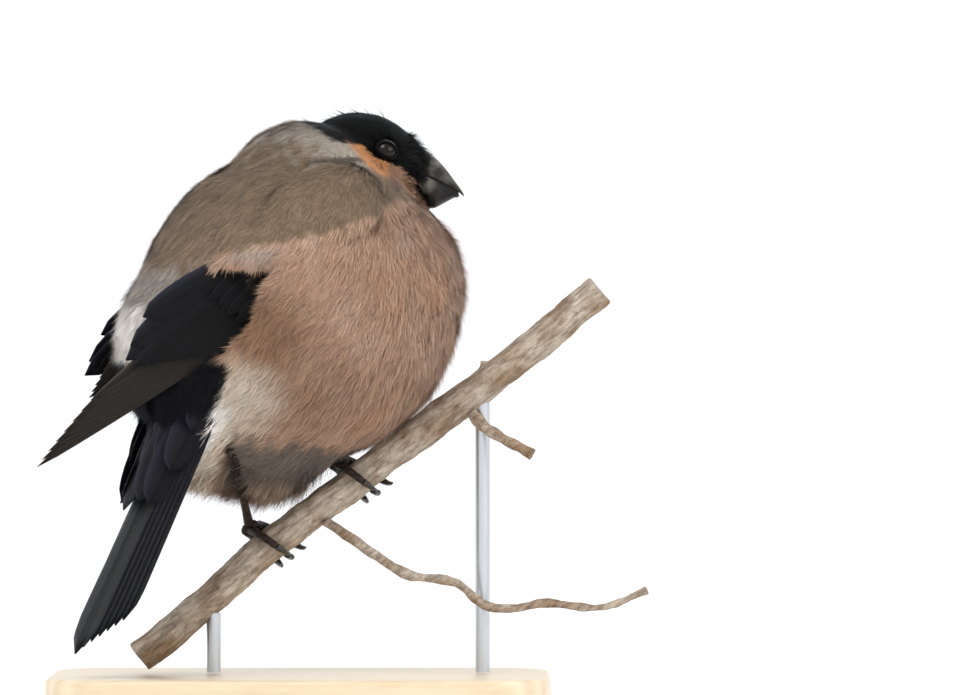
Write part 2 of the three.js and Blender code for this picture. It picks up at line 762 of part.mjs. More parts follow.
add('torso', torso, COLOURS.breast, 0.9);
add('neck', neck, COLOURS.mantle, 0.9);
add('head', head, COLOURS.cap, 0.7);
add('bill_upper', solidOf(upperBill).subtract(fused([nostril(1), nostril(-1)])), COLOURS.bill, 0.4);
add('bill_lower', solidOf(lowerBill), COLOURS.bill, 0.4);
add('eye_right', solidOf(eyeball(1)), COLOURS.eye, 0.05);
add('eye_left', solidOf(eyeball(-1)), COLOURS.eye, 0.05);
for (const name of ['right', 'left']) {
  add(`wing_${name}`, wingArms[name], COLOURS.coverts, 0.8);
  add(`wing_${name}_flight`, wingFlights[name], COLOURS.flight, 0.45);
}
add('tail', tail, COLOURS.tail, 0.4);
add('tail_coverts_upper', upperCoverts, COLOURS.tail, 0.45);
add('tail_coverts_under', underCoverts, COLOURS.vent, 0.9);
for (const name of ['right', 'left']) {
  const { shank, palm, toes } = legs[name];
  const foot = fused([palm, ...toes.map(({ digit }) => digit)]).subtract(perchRoom);
  const footRoom = room([palm, ...toes.map(({ digit }) => digit)]);
  add(`leg_${name}`, solidOf(shank).subtract(footRoom), COLOURS.leg, 0.6);
  add(`foot_${name}`, foot, COLOURS.leg, 0.6);
  toes.forEach(({ claw }, k) => add(`claw_${name}_${k + 1}`, solidOf(claw), COLOURS.claw, 0.35));
}
add('perch', perch, COLOURS.bark, 0.9);
add('twig_long', solidOf(longTwig).subtract(perchRoom), COLOURS.bark, 0.9);
add('twig_stub', solidOf(stubTwig).subtract(perchRoom), COLOURS.bark, 0.9);
add('stand_base', solidOf(baseGeometry()), COLOURS.base, 0.5);
add('stand_rod_low', solidOf(rodGeometry(ROD_PLACES.low)).subtract(perchRoom), COLOURS.rod, 0.35, 1);
add('stand_rod_high', solidOf(rodGeometry(ROD_PLACES.high)).subtract(perchRoom), COLOURS.rod, 0.35, 1);

export default model;
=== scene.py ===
# %% [markdown]
# A female bullfinch, fluffed up against the cold, grips a slanting perch on a plain display stand.
# The measured model comes first and stays as it is. Every piece made here goes where that model says, apart
# from the far wing's feathers, which are moved a little to follow the photograph. The bird could be sculpted
# by hand instead, but rules that name real places on it can be read, checked and changed.

# %% The measured model
import math

import bmesh
import bpy
import numpy as np
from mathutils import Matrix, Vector


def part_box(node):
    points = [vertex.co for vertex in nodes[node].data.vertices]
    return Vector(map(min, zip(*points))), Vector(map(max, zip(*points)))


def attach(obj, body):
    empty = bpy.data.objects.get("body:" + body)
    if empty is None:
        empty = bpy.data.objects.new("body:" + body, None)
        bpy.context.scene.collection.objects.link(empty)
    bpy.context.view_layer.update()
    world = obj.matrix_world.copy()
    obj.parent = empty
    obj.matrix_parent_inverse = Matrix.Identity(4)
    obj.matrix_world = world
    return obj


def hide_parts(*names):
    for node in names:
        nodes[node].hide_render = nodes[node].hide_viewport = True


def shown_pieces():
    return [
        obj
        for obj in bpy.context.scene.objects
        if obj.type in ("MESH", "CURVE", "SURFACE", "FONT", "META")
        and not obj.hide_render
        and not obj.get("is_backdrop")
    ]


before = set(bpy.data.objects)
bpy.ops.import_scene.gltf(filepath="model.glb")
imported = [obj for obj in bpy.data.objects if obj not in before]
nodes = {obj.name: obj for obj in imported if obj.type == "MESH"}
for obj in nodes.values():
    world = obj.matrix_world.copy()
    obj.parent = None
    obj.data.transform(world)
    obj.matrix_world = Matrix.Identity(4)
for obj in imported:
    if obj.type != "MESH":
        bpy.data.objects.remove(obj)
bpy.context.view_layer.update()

# %% [markdown]
# The photograph looks level at the bird from its right side, as if through a long lens. A long lens far away
# keeps the outline nearly flat. A flat, orthographic camera would come close too, but a real lens keeps what
# little perspective there is. The distance is worked out so that the picture's width spans 201.7 mm at the
# perch, which is the scale of 4.8 pixels to a millimetre.

# %% Camera
MM = 0.001
PICTURE = (968, 695)
PIXELS_PER_MM = 4.8
LENS, SENSOR = 300.0, 36.0
PICTURE_MIDDLE = (38.3, 72.0)
field_width = PICTURE[0] / PIXELS_PER_MM
distance = field_width * LENS / SENSOR

camera = bpy.data.objects.new("camera", bpy.data.cameras.new("camera"))
camera.data.lens = LENS
camera.data.sensor_width = SENSOR
camera.data.clip_end = 30.0
camera.location = (PICTURE_MIDDLE[0] * MM, -distance * MM, PICTURE_MIDDLE[1] * MM)
camera.rotation_euler = (math.radians(90), 0, 0)
bpy.context.collection.objects.link(camera)
bpy.context.scene.camera = camera
print("camera stands", round(distance), "mm away")

# %% [markdown]
# Plain soft studio light: a bright even surround, one large panel above on the camera's left, and a weaker
# one on the right. A single sun would be simpler, but its hard shadows don't suit the photograph's soft light,
# and large panels give the eye and the bill their soft highlights.

# %% Light
scene = bpy.context.scene
scene.view_settings.view_transform = "Standard"
scene.view_settings.look = "None"


def linear(hex_colour):
    """sRGB hex to the linear numbers that the shaders work in."""
    channels = [int(hex_colour[i:i + 2], 16) / 255 for i in (1, 3, 5)]
    return tuple(c / 12.92 if c <= 0.04045 else ((c + 0.055) / 1.055) ** 2.4 for c in channels) + (1.0,)


def add_node(tree, kind, settings=(), links=()):
    """Adds one node. Settings are its inputs by name or place, or else its own properties."""
    new = tree.nodes.new(kind)
    for name, value in dict(settings).items():
        if isinstance(name, int) or name in new.inputs:
            new.inputs[name].default_value = value
        else:
            setattr(new, name, value)
    for name, source in dict(links).items():
        tree.links.new(source, new.inputs[name])
    return new


world = bpy.data.worlds.new("studio")
world.use_nodes = True
world.node_tree.nodes["Background"].inputs["Color"].default_value = linear("#f4f6fa")
world.node_tree.nodes["Background"].inputs["Strength"].default_value = 0.92
scene.world = world


def panel(name, place_at, aim, size, power):
    light = bpy.data.lights.new(name, "AREA")
    light.size = size
    light.energy = power
    lamp = bpy.data.objects.new(name, light)
    lamp.location = place_at
    lamp.rotation_euler = (Vector(aim) - Vector(place_at)).to_track_quat("-Z", "Y").to_euler()
    bpy.context.collection.objects.link(lamp)


panel("key_panel", (-0.45, -0.9, 1.4), (0, 0, 0.08), 0.7, 11.5)
panel("fill_panel", (1.1, -0.9, 0.8), (0, 0, 0.08), 0.8, 6.5)
print("two panels and a bright surround")

# %% [markdown]
# All shapes below are worked out in millimetres as arrays, and one function turns them into an object. Adding
# faces one by one works too, but is far too slow for a coat of half a million blades. A colour may be given at
# each point, where a marking belongs to the place and not to the material.

# %% Meshes from arrays
def mesh_object(name, points, faces, colours=None, uv=None, uv_name="OFBake", smooth=True):
    """points in mm; faces as one array of corners per size of face; colours per point; uv per point."""
    mesh = bpy.data.meshes.new(name)
    mesh.vertices.add(len(points))
    mesh.vertices.foreach_set("co", (np.asarray(points, dtype=np.float32) * MM).ravel())
    blocks = [np.asarray(block, dtype=np.int32) for block in faces if len(block)]
    corners = np.concatenate([block.ravel() for block in blocks])
    sizes = np.concatenate([np.full(len(block), block.shape[1]) for block in blocks])
    mesh.loops.add(len(corners))
    mesh.loops.foreach_set("vertex_index", corners)
    mesh.polygons.add(len(sizes))
    mesh.polygons.foreach_set("loop_start", np.concatenate([[0], np.cumsum(sizes)[:-1]]).astype(np.int32))
    mesh.update(calc_edges=True)
    mesh.validate()
    mesh.polygons.foreach_set("use_smooth", np.full(len(mesh.polygons), smooth))
    if colours is not None:
        layer = mesh.color_attributes.new("markings", "FLOAT_COLOR", "POINT")
        layer.data.foreach_set("color", np.c_[colours, np.ones(len(colours))].astype(np.float32).ravel())
    if uv is not None:
        layer = mesh.uv_layers.new(name=uv_name)
        loops = np.empty(len(mesh.loops), dtype=np.int32)
        mesh.loops.foreach_get("vertex_index", loops)
        layer.data.foreach_set("uv", np.asarray(uv, dtype=np.float32)[loops].ravel())
    made = bpy.data.objects.new(name, mesh)
    bpy.context.collection.objects.link(made)
    return made


def finish_piece(piece, material, stands_for=()):
    piece.data.materials.clear()
    piece.data.materials.append(material)
    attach(piece, "root")
    if stands_for:
        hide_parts(*stands_for)


def points_of(mesh):
    got = np.empty(len(mesh.vertices) * 3, dtype=np.float32)
    mesh.vertices.foreach_get("co", got)
    return got.reshape(-1, 3).astype(float) / MM


def normals_of(mesh):
    got = np.empty(len(mesh.vertices) * 3, dtype=np.float32)
    mesh.vertex_normals.foreach_get("vector", got)
    return got.reshape(-1, 3).astype(float)


def set_points(mesh, points):
    mesh.vertices.foreach_set("co", (points * MM).astype(np.float32).ravel())


def set_smooth(mesh):
    mesh.polygons.foreach_set("use_smooth", np.full(len(mesh.polygons), True))


print("mesh helpers ready")

# %% [markdown]
# The backdrop is one sweep of matt white paper. A flat floor would leave a horizon in the picture, so this one
# turns up at its far edge, all the way round. A faint grain keeps it from looking like nothing at all.

# %% Floor
def floor_sweep():
    turns = 96
    profile = [(1.2, 0), (2.3, 0), (2.7, 0.02)]
    profile += [(2.7 + 0.7 * math.sin(a), 0.72 - 0.7 * math.cos(a)) for a in np.linspace(0.2, math.pi / 2, 10)]
    profile += [(3.4, 2.6)]
    points = [(r * 1000 * math.cos(t), r * 1000 * math.sin(t), h * 1000)
              for r, h in profile for t in np.linspace(0, 2 * math.pi, turns, endpoint=False)]
    points.append((0, 0, 0))
    rings = len(profile)
    quads = [(i * turns + j, i * turns + (j + 1) % turns, (i + 1) * turns + (j + 1) % turns, (i + 1) * turns + j)
             for i in range(rings - 1) for j in range(turns)]
    fan = [(len(points) - 1, (j + 1) % turns, j) for j in range(turns)]
    return mesh_object("floor", points, [quads, fan])


paper = bpy.data.materials.new("backdrop_paper")
paper.use_nodes = True
shader = paper.node_tree.nodes["Principled BSDF"]
shader.inputs["Base Color"].default_value = linear("#fbfbfb")
shader.inputs["Roughness"].default_value = 0.9
shader.inputs["Emission Color"].default_value = linear("#ffffff")
shader.inputs["Emission Strength"].default_value = 0.1
grain = add_node(paper.node_tree, "ShaderNodeTexNoise", {"Scale": 900.0, "Detail": 3.0})
relief = add_node(paper.node_tree, "ShaderNodeBump", {"Strength": 0.03, "Distance": 0.0002},
                  {"Height": grain.outputs["Fac"]})
paper.node_tree.links.new(relief.outputs["Normal"], shader.inputs["Normal"])
floor = floor_sweep()
floor.data.materials.append(paper)
floor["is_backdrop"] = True
print("floor sweep made")

# %% [markdown]
# The bird has its own directions. Its body points 28 degrees away from the picture's plane, and its head
# looks square along X. The named places and sizes are those of the measured model, in millimetres. Empties
# parented to one another could carry the wing and the tail, but plain vectors keep each place in one formula.

# %% Directions and places
HEADING = math.radians(28)
BODY = np.array([-0.6, 0.0, 79.8])
HEAD = np.array([12.0, 6.5, 107.6])
HEAD_HALF_WIDTH = 12.0
EYE_RADIUS = 2.75
EYE = (17.7, 112.6)
BILL_HALF_WIDTH = 4.7
SHIN_TOP = (-13.9, 51.4)
SHIN_RUN = (3.3, -11.0)
SHIN_LENGTH_SQUARED = 131.9
WING_LENGTH = 83.0
UP = np.array([0.0, 0.0, 1.0])
forward = np.array([math.cos(HEADING), math.sin(HEADING), 0.0])
right = np.array([math.sin(HEADING), -math.cos(HEADING), 0.0])
rng = np.random.default_rng(11)


def unit(v):
    v = np.asarray(v, dtype=float)
    return v / np.maximum(np.linalg.norm(v, axis=-1, keepdims=True), 1e-9)


def place(x, z, r):
    """A point at a given x and height that lies r to the right of the bird's middle plane."""
    f = (x - BODY[0] - right[0] * r) / forward[0]
    point = BODY + forward * f + right * r
    point[2] = z
    return point


def axes(yaw, pitch):
    ahead = np.array([math.cos(yaw) * math.cos(pitch), math.sin(yaw) * math.cos(pitch), math.sin(pitch)])
    left = np.array([-math.sin(yaw), math.cos(yaw), 0.0])
    return np.array([ahead, left, np.cross(ahead, left)])


def wing_frame(side):
    wrist, tip = (place(10.4, 99.7, 25), place(-54.2, 47.5, 2.5)) if side > 0 else \
        (place(-10, 94, -25), place(-48.5, 58.5, -7))
    span = np.linalg.norm(tip - wrist)
    along = (tip - wrist) / span
    face = right * side + UP * 0.42 - forward * 0.12
    face = unit(face - along * (face @ along))
    down = unit(np.cross(face, along) * side)
    return {"wrist": wrist, "along": along, "down": down, "face": face, "scale": span / WING_LENGTH,
            "side": side}


def on_wing(wing, s, w, h):
    return wing["wrist"] + wing["along"] * s * wing["scale"] + wing["down"] * w + wing["face"] * h


def wing_places(wing, points):
    away = points - wing["wrist"]
    return away @ wing["along"] / wing["scale"], away @ wing["down"], away @ wing["face"]


wings = {"right": wing_frame(1), "left": wing_frame(-1)}

tail_base, tail_tip = place(-22.3, 61, 0), place(-45.8, 9.4, 0)
tail_along = unit(tail_tip - tail_base)
tail_out = unit(np.cross(right, tail_along))
tail_out = tail_out * np.sign(tail_out[2])
TAIL_LENGTH = np.linalg.norm(tail_tip - tail_base)


def on_tail(s, l, h):
    return tail_base + tail_along * s + right * l + tail_out * h


def tail_places(points):
    away = points - tail_base
    return away @ tail_along, away @ right, away @ tail_out


print("wing", round(wings["right"]["scale"] * WING_LENGTH, 1), "mm, tail", round(TAIL_LENGTH, 1), "mm")

# %% [markdown]
# A fluffed bird is nearly a ball. The plumage's outer surface is built from soft egg shapes that run
# together: a ball's points are pushed out to where the eggs' sum says the surface is. Metaballs do much the
# same, but give less say over how sharply two eggs meet. The body, the head, both shoulders and the roots of
# the tail are made so, and one remesh joins them with no seam.

# %% Outer surface of the plumage
def egg(centre, size, basis=None):
    basis = axes(HEADING, 0) if basis is None else basis
    return np.asarray(centre, dtype=float), np.array(size, dtype=float), basis


def depth_outside(points, eggs, blend):
    total = 0
    for centre, size, basis in eggs:
        scaled = (points - centre) @ basis.T / size
        total = total + np.exp(-(np.linalg.norm(scaled, axis=1) - 1) * size.min() / blend)
    return -np.log(total) * blend


def puffed(name, centre, eggs, detail, blend):
    shape = bmesh.new()
    bmesh.ops.create_icosphere(shape, subdivisions=detail, radius=1.0)
    ways = unit(np.array([v.co[:] for v in shape.verts]))
    near, far = np.zeros(len(ways)), np.full(len(ways), 90.0)
    for _ in range(30):
        middle = (near + far) / 2
        inside = depth_outside(centre + ways * middle[:, None], eggs, blend) < 0
        near, far = np.where(inside, middle, near), np.where(inside, far, middle)
    faces = [[v.index for v in f.verts] for f in shape.faces]
    shape.free()
    return mesh_object(name, centre + ways * near[:, None], [faces])


body_eggs = [
    egg(place(-0.6, 81.5, 0), [34.0, 30, 33]),
    egg(place(7, 86, 0), [25.5, 24, 20]),
    egg(place(1.5, 102, 0), [16.5, 18, 17]),
    egg(place(-22.5, 73, 0), [15.5, 14.5, 19]),
    egg(place(-6.5, 89, 0), [18, 21, 16.5]),
    egg(place(-19.5, 56, 0), [11, 11, 14], axes(HEADING, 0.9)),
    egg(place(-7, 62, 0), [17, 18, 20.5]),
]
head_eggs = [
    egg(HEAD + [0.4, 0, 1.2], [13.6, HEAD_HALF_WIDTH, 12.2], axes(0, -0.2)),
    egg(HEAD + [7.2, 0, -1.4], [8.6, 9.4, 9.4], axes(0, -0.2)),
]
forms = [puffed("form_body", BODY, body_eggs, 6, 1.6), puffed("form_head", HEAD, head_eggs, 5, 0.8)]
for side_name, wing in wings.items():
    basis = np.array([wing["along"], wing["down"], wing["face"]])
    lobes = [egg(on_wing(wing, 0, -3.2, -1.6), [9.5, 8, 4.6], basis),
             egg(on_wing(wing, 8, -4.2, 1.2), [12, 8.5, 4.2], basis)]
    forms.append(puffed("form_shoulder_" + side_name, on_wing(wing, 2, -3.6, 0.4), lobes, 4, 0.8))
tail_basis = np.array([tail_along, right, tail_out])
forms.append(puffed("form_rump", on_tail(-4, 0, 2), [egg(on_tail(-4, 0, 2), [12, 9, 4.6], tail_basis)], 4, 0.5))
forms.append(puffed("form_vent", on_tail(-1, 0, -6), [egg(on_tail(1, 0, -6), [14, 8.0, 4], tail_basis)], 4, 0.5))


def applied(piece, *modifiers):
    """The piece's mesh after these modifiers, which are given as a kind and its settings."""
    for kind, settings in modifiers:
        added = piece.modifiers.new(kind.lower(), kind)
        for name, value in settings.items():
            setattr(added, name, value)
    depsgraph = bpy.context.evaluated_depsgraph_get()
    fresh = bpy.data.meshes.new_from_object(piece.evaluated_get(depsgraph))
    piece.modifiers.clear()
    old, piece.data = piece.data, fresh
    bpy.data.meshes.remove(old)


def joined(name, pieces):
    """One object from several, by way of their points and faces."""
    points, faces, start = [], [], 0
    for piece in pieces:
        points.append(points_of(piece.data))
        faces += [[start + i for i in f.vertices] for f in piece.data.polygons]
        start += len(piece.data.vertices)
        bpy.data.objects.remove(piece)
    return mesh_object(name, np.concatenate(points), [[f for f in faces if len(f) == 3],
                                                      [f for f in faces if len(f) == 4]])


outer = joined("plumage_skin", forms)
applied(outer, ("REMESH", {"mode": "VOXEL", "voxel_size": 0.75 * MM}),
        ("SMOOTH", {"factor": 0.5, "iterations": 10}))
print("outer surface:", len(outer.data.polygons), "faces")

# %% [markdown]
# Where the folded wing lies in the plumage, the surface dips under it. The dip follows the wing's own
# directions: every point above the wing's plane, inside its outline, is pressed below it. Cutting the wing's
# shape out with a Boolean would leave a hard rim, which feathers don't have. Then the back is pressed flatter
# by about a millimetre, and the face is made to end where the bill begins.

# %% Hollows for the wings, the back and the face's end
def ease(low, high, value):
    """0 below low, 1 above high, and a smooth step between."""
    t = np.clip((value - low) / (high - low), 0, 1)
    return t * t * (3 - 2 * t)


def wing_front(w):
    """How far along the wing its feathers come out from under the plumage."""
    return 18.4 + np.where(w < 0, 0.44 * np.abs(w) ** 1.38, 1.87 * w)


def wing_cover(wing, points, margin=0.0):
    """1 where the folded flight feathers hide the plumage, and 0 away from them."""
    s, w, h = wing_places(wing, points)
    upper_edge = np.interp(s, [20, 31, 36, 46.5, 55, WING_LENGTH], [-11.5, -12, -12.4, -10.3, -4.8, -1])
    lower_edge = np.interp(s, [20, 32, 40, 62, WING_LENGTH], [5.8, 6.1, 5.6, 4.5, 0.2])
    front = ease(-0.8 - margin, 0.8 - margin, s - wing_front(w))
    across = ease(-0.4 - margin, 0.8 - margin, w - upper_edge) * ease(-0.4 - margin, 0.8 - margin, lower_edge - w)
    return front * across * (h > -9)


WING_BED = 2.6
outer_points = points_of(outer.data)
for wing in wings.values():
    s, w, h = wing_places(wing, outer_points)
    press = wing_cover(wing, outer_points, 0.5) * np.clip(h + WING_BED, 0, None)
    outer_points -= press[:, None] * wing["face"]
flat_back = (0.9 + 0.5 * ease(88, 101, outer_points[:, 2])) * ease(64, 74, outer_points[:, 2])
flat_back *= ease(-7, -17, outer_points[:, 0])
outer_points -= unit(outer_points - BODY) * flat_back[:, None]
FACE_HEIGHTS = [102, 103.6, 106, 108.5, 112, 114]
FACE_ENDS = [34, 26.0, 24.6, 24.8, 26.6, 27.6]
face_end = np.interp(outer_points[:, 2], FACE_HEIGHTS, FACE_ENDS)
at_bill = (outer_points[:, 0] > 20) & (outer_points[:, 2] > 102)
outer_points[:, 0] = np.where(at_bill, np.minimum(outer_points[:, 0], face_end), outer_points[:, 0])
set_points(outer.data, outer_points)
outer.data.update()
print("pressed in under the wings, at the back and at the bill")

# %% [markdown]
# Markings are painted by rule, once, for the skin and for every tuft. The rules speak of places on the bird:
# the black cap's edge, the buff strip under it, the grey nape, the brown-grey mantle, the pinkish breast, the
# white rump, the cream vent, the grey fluff of the belly and the dark tuft on the shank. Slow waves make the
# edges ragged. Texture painting by hand is the usual way, but a rule gives skin and tufts the same colour.

# %% Markings
def waves(points, size, seed):
    """Slow random waves over space, from about -1 to 1, each about size mm long."""
    draw = np.random.default_rng(seed)
    total = np.zeros(len(points))
    for _ in range(6):
        way = unit(draw.normal(size=3)) * 2 * math.pi / (size * draw.uniform(0.7, 1.5))
        total += np.sin(points @ way + draw.uniform(0, 2 * math.pi))
    return total / 2.4


def edge_distance(x, z, line):
    """Distance from points to a line of places, and which side: positive on its left as it runs."""
    best = np.full(len(x), 1e9)
    sign = np.ones(len(x))
    for (ax, az), (bx, bz) in zip(line[:-1], line[1:]):
        dx, dz = bx - ax, bz - az
        t = np.clip(((x - ax) * dx + (z - az) * dz) / (dx * dx + dz * dz), 0, 1)
        px, pz = x - ax - t * dx, z - az - t * dz
        d = np.hypot(px, pz)
        closer = d < best
        best = np.where(closer, d, best)
        sign = np.where(closer, np.sign(dx * pz - dz * px), sign)
    return best * sign


def off_shin(x, z):
    """Distance, as the camera sees it, from the line of the near shank's dark tuft."""
    dx, dz = x - SHIN_TOP[0], z - SHIN_TOP[1]
    share = np.clip((dx * SHIN_RUN[0] + dz * SHIN_RUN[1]) / SHIN_LENGTH_SQUARED, 0, 1)
    return np.hypot(dx - SHIN_RUN[0] * share, dz - SHIN_RUN[1] * share)


PLUMAGE = {
    "breast": "#b7967f", "breast_warm": "#bd967a", "breast_pale": "#c0a48f", "mantle": "#8e7a65",
    "nape": "#c0b5a8", "shoulder": "#8c7862", "lower_back": "#a59c93", "rump": "#f0e9e1",
    "flank": "#d0c2b0", "flank_brown": "#86654c", "vent": "#cfc2b1", "belly": "#75695f", "cap": "#060607",
    "cheek": "#dc9d66", "face": "#8d6d58", "covert": "#101016", "wing_bar": "#aaa39a", "crease_shade": "#40362e",
    "belly_rim": "#a58d7a", "tibia": "#221915",
}
CAP_EDGE = [(-14, 128), (-0.6, 120.0), (4.6, 116.7), (6.5, 115.2), (10.6, 114.2), (12.9, 114.0), (14.4, 112.6),
            (16.6, 111.2), (19.2, 110.2), (21.2, 109.2), (23.5, 107.3), (24.6, 105.4), (27.0, 101.0), (29, 95)]
SHOULDER_EDGE = [(-34, 86), (-19.8, 93.5), (-6.1, 96.9), (1.1, 99.0), (8.4, 100.8), (13.4, 102.1), (22, 104)]


def markings(points):
    """The colour at each place, as linear numbers."""
    x, z = points[:, 0], points[:, 2]
    f, r = (points - BODY) @ forward, (points - BODY) @ right
    colour = np.tile(linear(PLUMAGE["breast"])[:3], (len(points), 1))
    ragged = waves(points, 5, 1) * 0.8 + waves(points, 2.2, 2) * 0.4

    def paint(name, share):
        nonlocal colour
        share = np.clip(share, 0, 1)[:, None]
        colour = colour * (1 - share) + np.array(linear(PLUMAGE[name])[:3]) * share

    def near(px, pz, pr, size, soft):
        """1 close to a place on either flank, and 0 further off than size plus soft."""
        centre = place(px, pz, pr) - BODY
        away = np.sqrt((f - centre @ forward) ** 2 + (np.abs(r) - pr) ** 2 + (z - pz) ** 2)
        return ease(size + soft, size - soft, away + 0.8 * ragged)

    paint("breast_warm", 0.8 * ease(-0.2, 0.8, waves(points, 16, 3)))
    paint("breast_pale", 0.45 * ease(0.1, 1.0, waves(points, 11, 4)) + 0.4 * ease(82, 94, z))
    paint("flank_brown", 0.22 * ease(74, 62, z))
    paint("flank_brown", 0.75 * near(-6, 75, 24, 8, 4))
    paint("flank_brown", 0.35 * near(2, 66, 24, 9, 5))
    paint("flank", 0.92 * near(-11.5, 59.5, 20, 9.0, 4.5))
    paint("belly", ease(53.5, 50.5, z + 0.12 * (f + 4) + ragged) * ease(-23, -19, f) * ease(19, 9, f))
    paint("belly_rim", 0.75 * ease(46.0, 43.0, z + 0.7 * ragged) * ease(12, 4, f))
    s, _, h = tail_places(points)
    x_alike = BODY[0] + forward[0] * f + right[0] * np.abs(r)
    vent_line = -25.6 + 0.46 * (z - 41)
    paint("vent", ease(6.5, 4.5, x_alike - vent_line + 0.8 * ragged) * ease(67, 64, z) * (f < -8))
    paint("tibia", ease(1.2, 0.5, off_shin(x, z) + 0.3 * waves(points, 1.2, 6)) * (r > 2))
    above = edge_distance(f, z, SHOULDER_EDGE) + ragged * 0.7
    paint("mantle", ease(-0.8, 0.8, above))
    near_shoulder = [np.linalg.norm(points - on_wing(w, 4, -3.6, 1), axis=1) for w in wings.values()]
    paint("shoulder", ease(-0.8, 0.8, above) * ease(17, 13, np.minimum(*near_shoulder)))
    paint("lower_back", ease(91, 85, z + 1.4 * ragged) * ease(-15, -19, f) * ease(18, 14, np.abs(r))
          * ease(70, 76, z))
    paint("rump", ease(81.6, 79.6, z + 0.7 * ragged) * ease(-17, -20, f) * ease(15, 12, np.abs(r)) * (h > -4))
    nape = np.linalg.norm(points - (HEAD + [-4, 0, -2]), axis=1)
    paint("nape", ease(25, 20, nape + 1.5 * ragged) * ease(-1.5, 1.5, above) * ease(17, 12, x) * (z > 107))
    # Painted shade: a dark line along the crease below the cap, on the near side only.
    crease_shade = edge_distance(x, z, [(2, 110.2), (8.5, 110.9), (14.4, 110.9), (18.3, 109.0), (20.6, 105)])
    paint("crease_shade", 0.8 * ease(0.9, 0.2, np.abs(crease_shade)) * (r > 4) * ease(0, 5, x))
    for wing in wings.values():
        ws, ww, wh = wing_places(wing, points)
        off_rim = np.abs(wing_front(ww) - ws - 1.6) + 0.5 * ragged
        paint("wing_bar", 0.5 * ease(2.4, 0.8, off_rim) * ease(-9, -7, ww) * ease(0, -3, ww) * (wh > -6))
    on_head = ease(18, 15.5, np.linalg.norm(points - (HEAD + [3, 0, 0]), axis=1))
    edge = edge_distance(x, z, CAP_EDGE) + 0.25 * waves(points, 1.6, 5)
    paint("face", on_head * ease(-4.5, -2.5, edge) * ease(15, 19, x))
    paint("cheek", on_head * ease(-3.5, -2.3, edge) * ease(6, 10, x) * ease(20, 17, x))
    behind = ease(24, 21, np.linalg.norm(points - (HEAD + [3, 0, 0]), axis=1)) * (x < 10)
    paint("cap", np.maximum(on_head, behind) * ease(-0.2, 0.2, edge))
    paint("covert", ease(0.5, -0.5, x_alike - vent_line + 0.3 * ragged) * ease(70, 68.5, z) * (f < -10)
          * (s > -7))
    return colour


outer_normals = normals_of(outer.data)
outer_colours = markings(outer_points)
print("markings on", len(outer_points), "points")

# %% [markdown]
# The skin lies under the tufts by the coat's depth: 0.7 mm on the head, 0.6 mm on the breast's front and
# 1.7 mm elsewhere. A Displace modifier could push it in, but the depth changes over the body by rule. The skin
# carries an unwrap of its own shape, and each tuft later takes its patch of that unwrap from its root.

# %% Skin under the coat
def coat_depth(points):
    head_share = ease(20, 15, np.linalg.norm(points - HEAD, axis=1))
    at_front = ease(-10, 12, (points - BODY) @ forward) * (1 - head_share)
    return 1.7 - 1.0 * head_share - 1.1 * at_front


# The skin's colours are the markings darkened to 0.55, as painted shade deep under the coat.
SKIN_PAINTED_SHADE = 0.55
skin = outer
outer_mesh = outer.data.copy()
set_points(skin.data, outer_points - outer_normals * coat_depth(outer_points)[:, None])
layer = skin.data.color_attributes.new("markings", "FLOAT_COLOR", "POINT")
skin_colours_in_painted_shade = np.c_[outer_colours * SKIN_PAINTED_SHADE, np.ones(len(outer_colours))]
layer.data.foreach_set("color", skin_colours_in_painted_shade.astype(np.float32).ravel())
set_smooth(skin.data)
for layer in list(skin.data.uv_layers):
    skin.data.uv_layers.remove(layer)
skin.data.uv_layers.new(name="OFBake")
bpy.context.view_layer.objects.active = skin
skin.select_set(True)
bpy.ops.object.mode_set(mode="EDIT")
bpy.ops.mesh.select_all(action="SELECT")
bpy.ops.uv.smart_project(angle_limit=math.radians(66), island_margin=0.004)
bpy.ops.object.mode_set(mode="OBJECT")
print("skin unwrapped")

# %% [markdown]
# Plumage is keratin barbs: soft, dull, with a faint halo where light grazes it. The colour comes from the
# markings. Sheen gives the halo, and a noise of 0.9 mm with finer steps inside it breaks up each tuft, as loose
# barbs do. A hair shader would need real hair curves, and these blades are meshes, so that they can be
# exported as they are.

# %% Material: downy barbs
def new_material(name):
    material = bpy.data.materials.new(name)
    material.use_nodes = True
    return material, material.node_tree, material.node_tree.nodes["Principled BSDF"]


def marked_plumage(name, roughness, sheen, contrast):
    material, tree, shader = new_material(name)
    paint = add_node(tree, "ShaderNodeAttribute", {"attribute_name": "markings"})
    where = add_node(tree, "ShaderNodeTexCoord")
    fine = add_node(tree, "ShaderNodeTexNoise", {"Scale": 1 / (0.9 * MM), "Detail": 3.0},
                    {"Vector": where.outputs["Object"]})
    spread = add_node(tree, "ShaderNodeMapRange", {"To Min": 1 - contrast, "To Max": 1 + contrast},
                      {"Value": fine.outputs["Fac"]})
    mixed = add_node(tree, "ShaderNodeVectorMath", {"operation": "SCALE"},
                     {0: paint.outputs["Color"], "Scale": spread.outputs["Result"]})
    tree.links.new(mixed.outputs["Vector"], shader.inputs["Base Color"])
    shader.inputs["Roughness"].default_value = roughness
    shader.inputs["Sheen Weight"].default_value = sheen
    shader.inputs["Sheen Roughness"].default_value = 0.5
    shader.inputs["Specular IOR Level"].default_value = 0.12
    relief = add_node(tree, "ShaderNodeBump", {"Strength": 0.3, "Distance": 0.1 * MM},
                      {"Height": fine.outputs["Fac"]})
    tree.links.new(relief.outputs["Normal"], shader.inputs["Normal"])
    return material


down_barbs = marked_plumage("downy_barbs", 0.85, 0.1, 0.2)
cap_barbs = marked_plumage("glossy_cap_barbs", 0.5, 0.0, 0.3)
skin_down = marked_plumage("skin_down", 0.95, 0.0, 0.2)
finish_piece(skin, skin_down,
             ["torso", "neck", "head", "wing_right", "wing_left"])
print("plumage materials made")

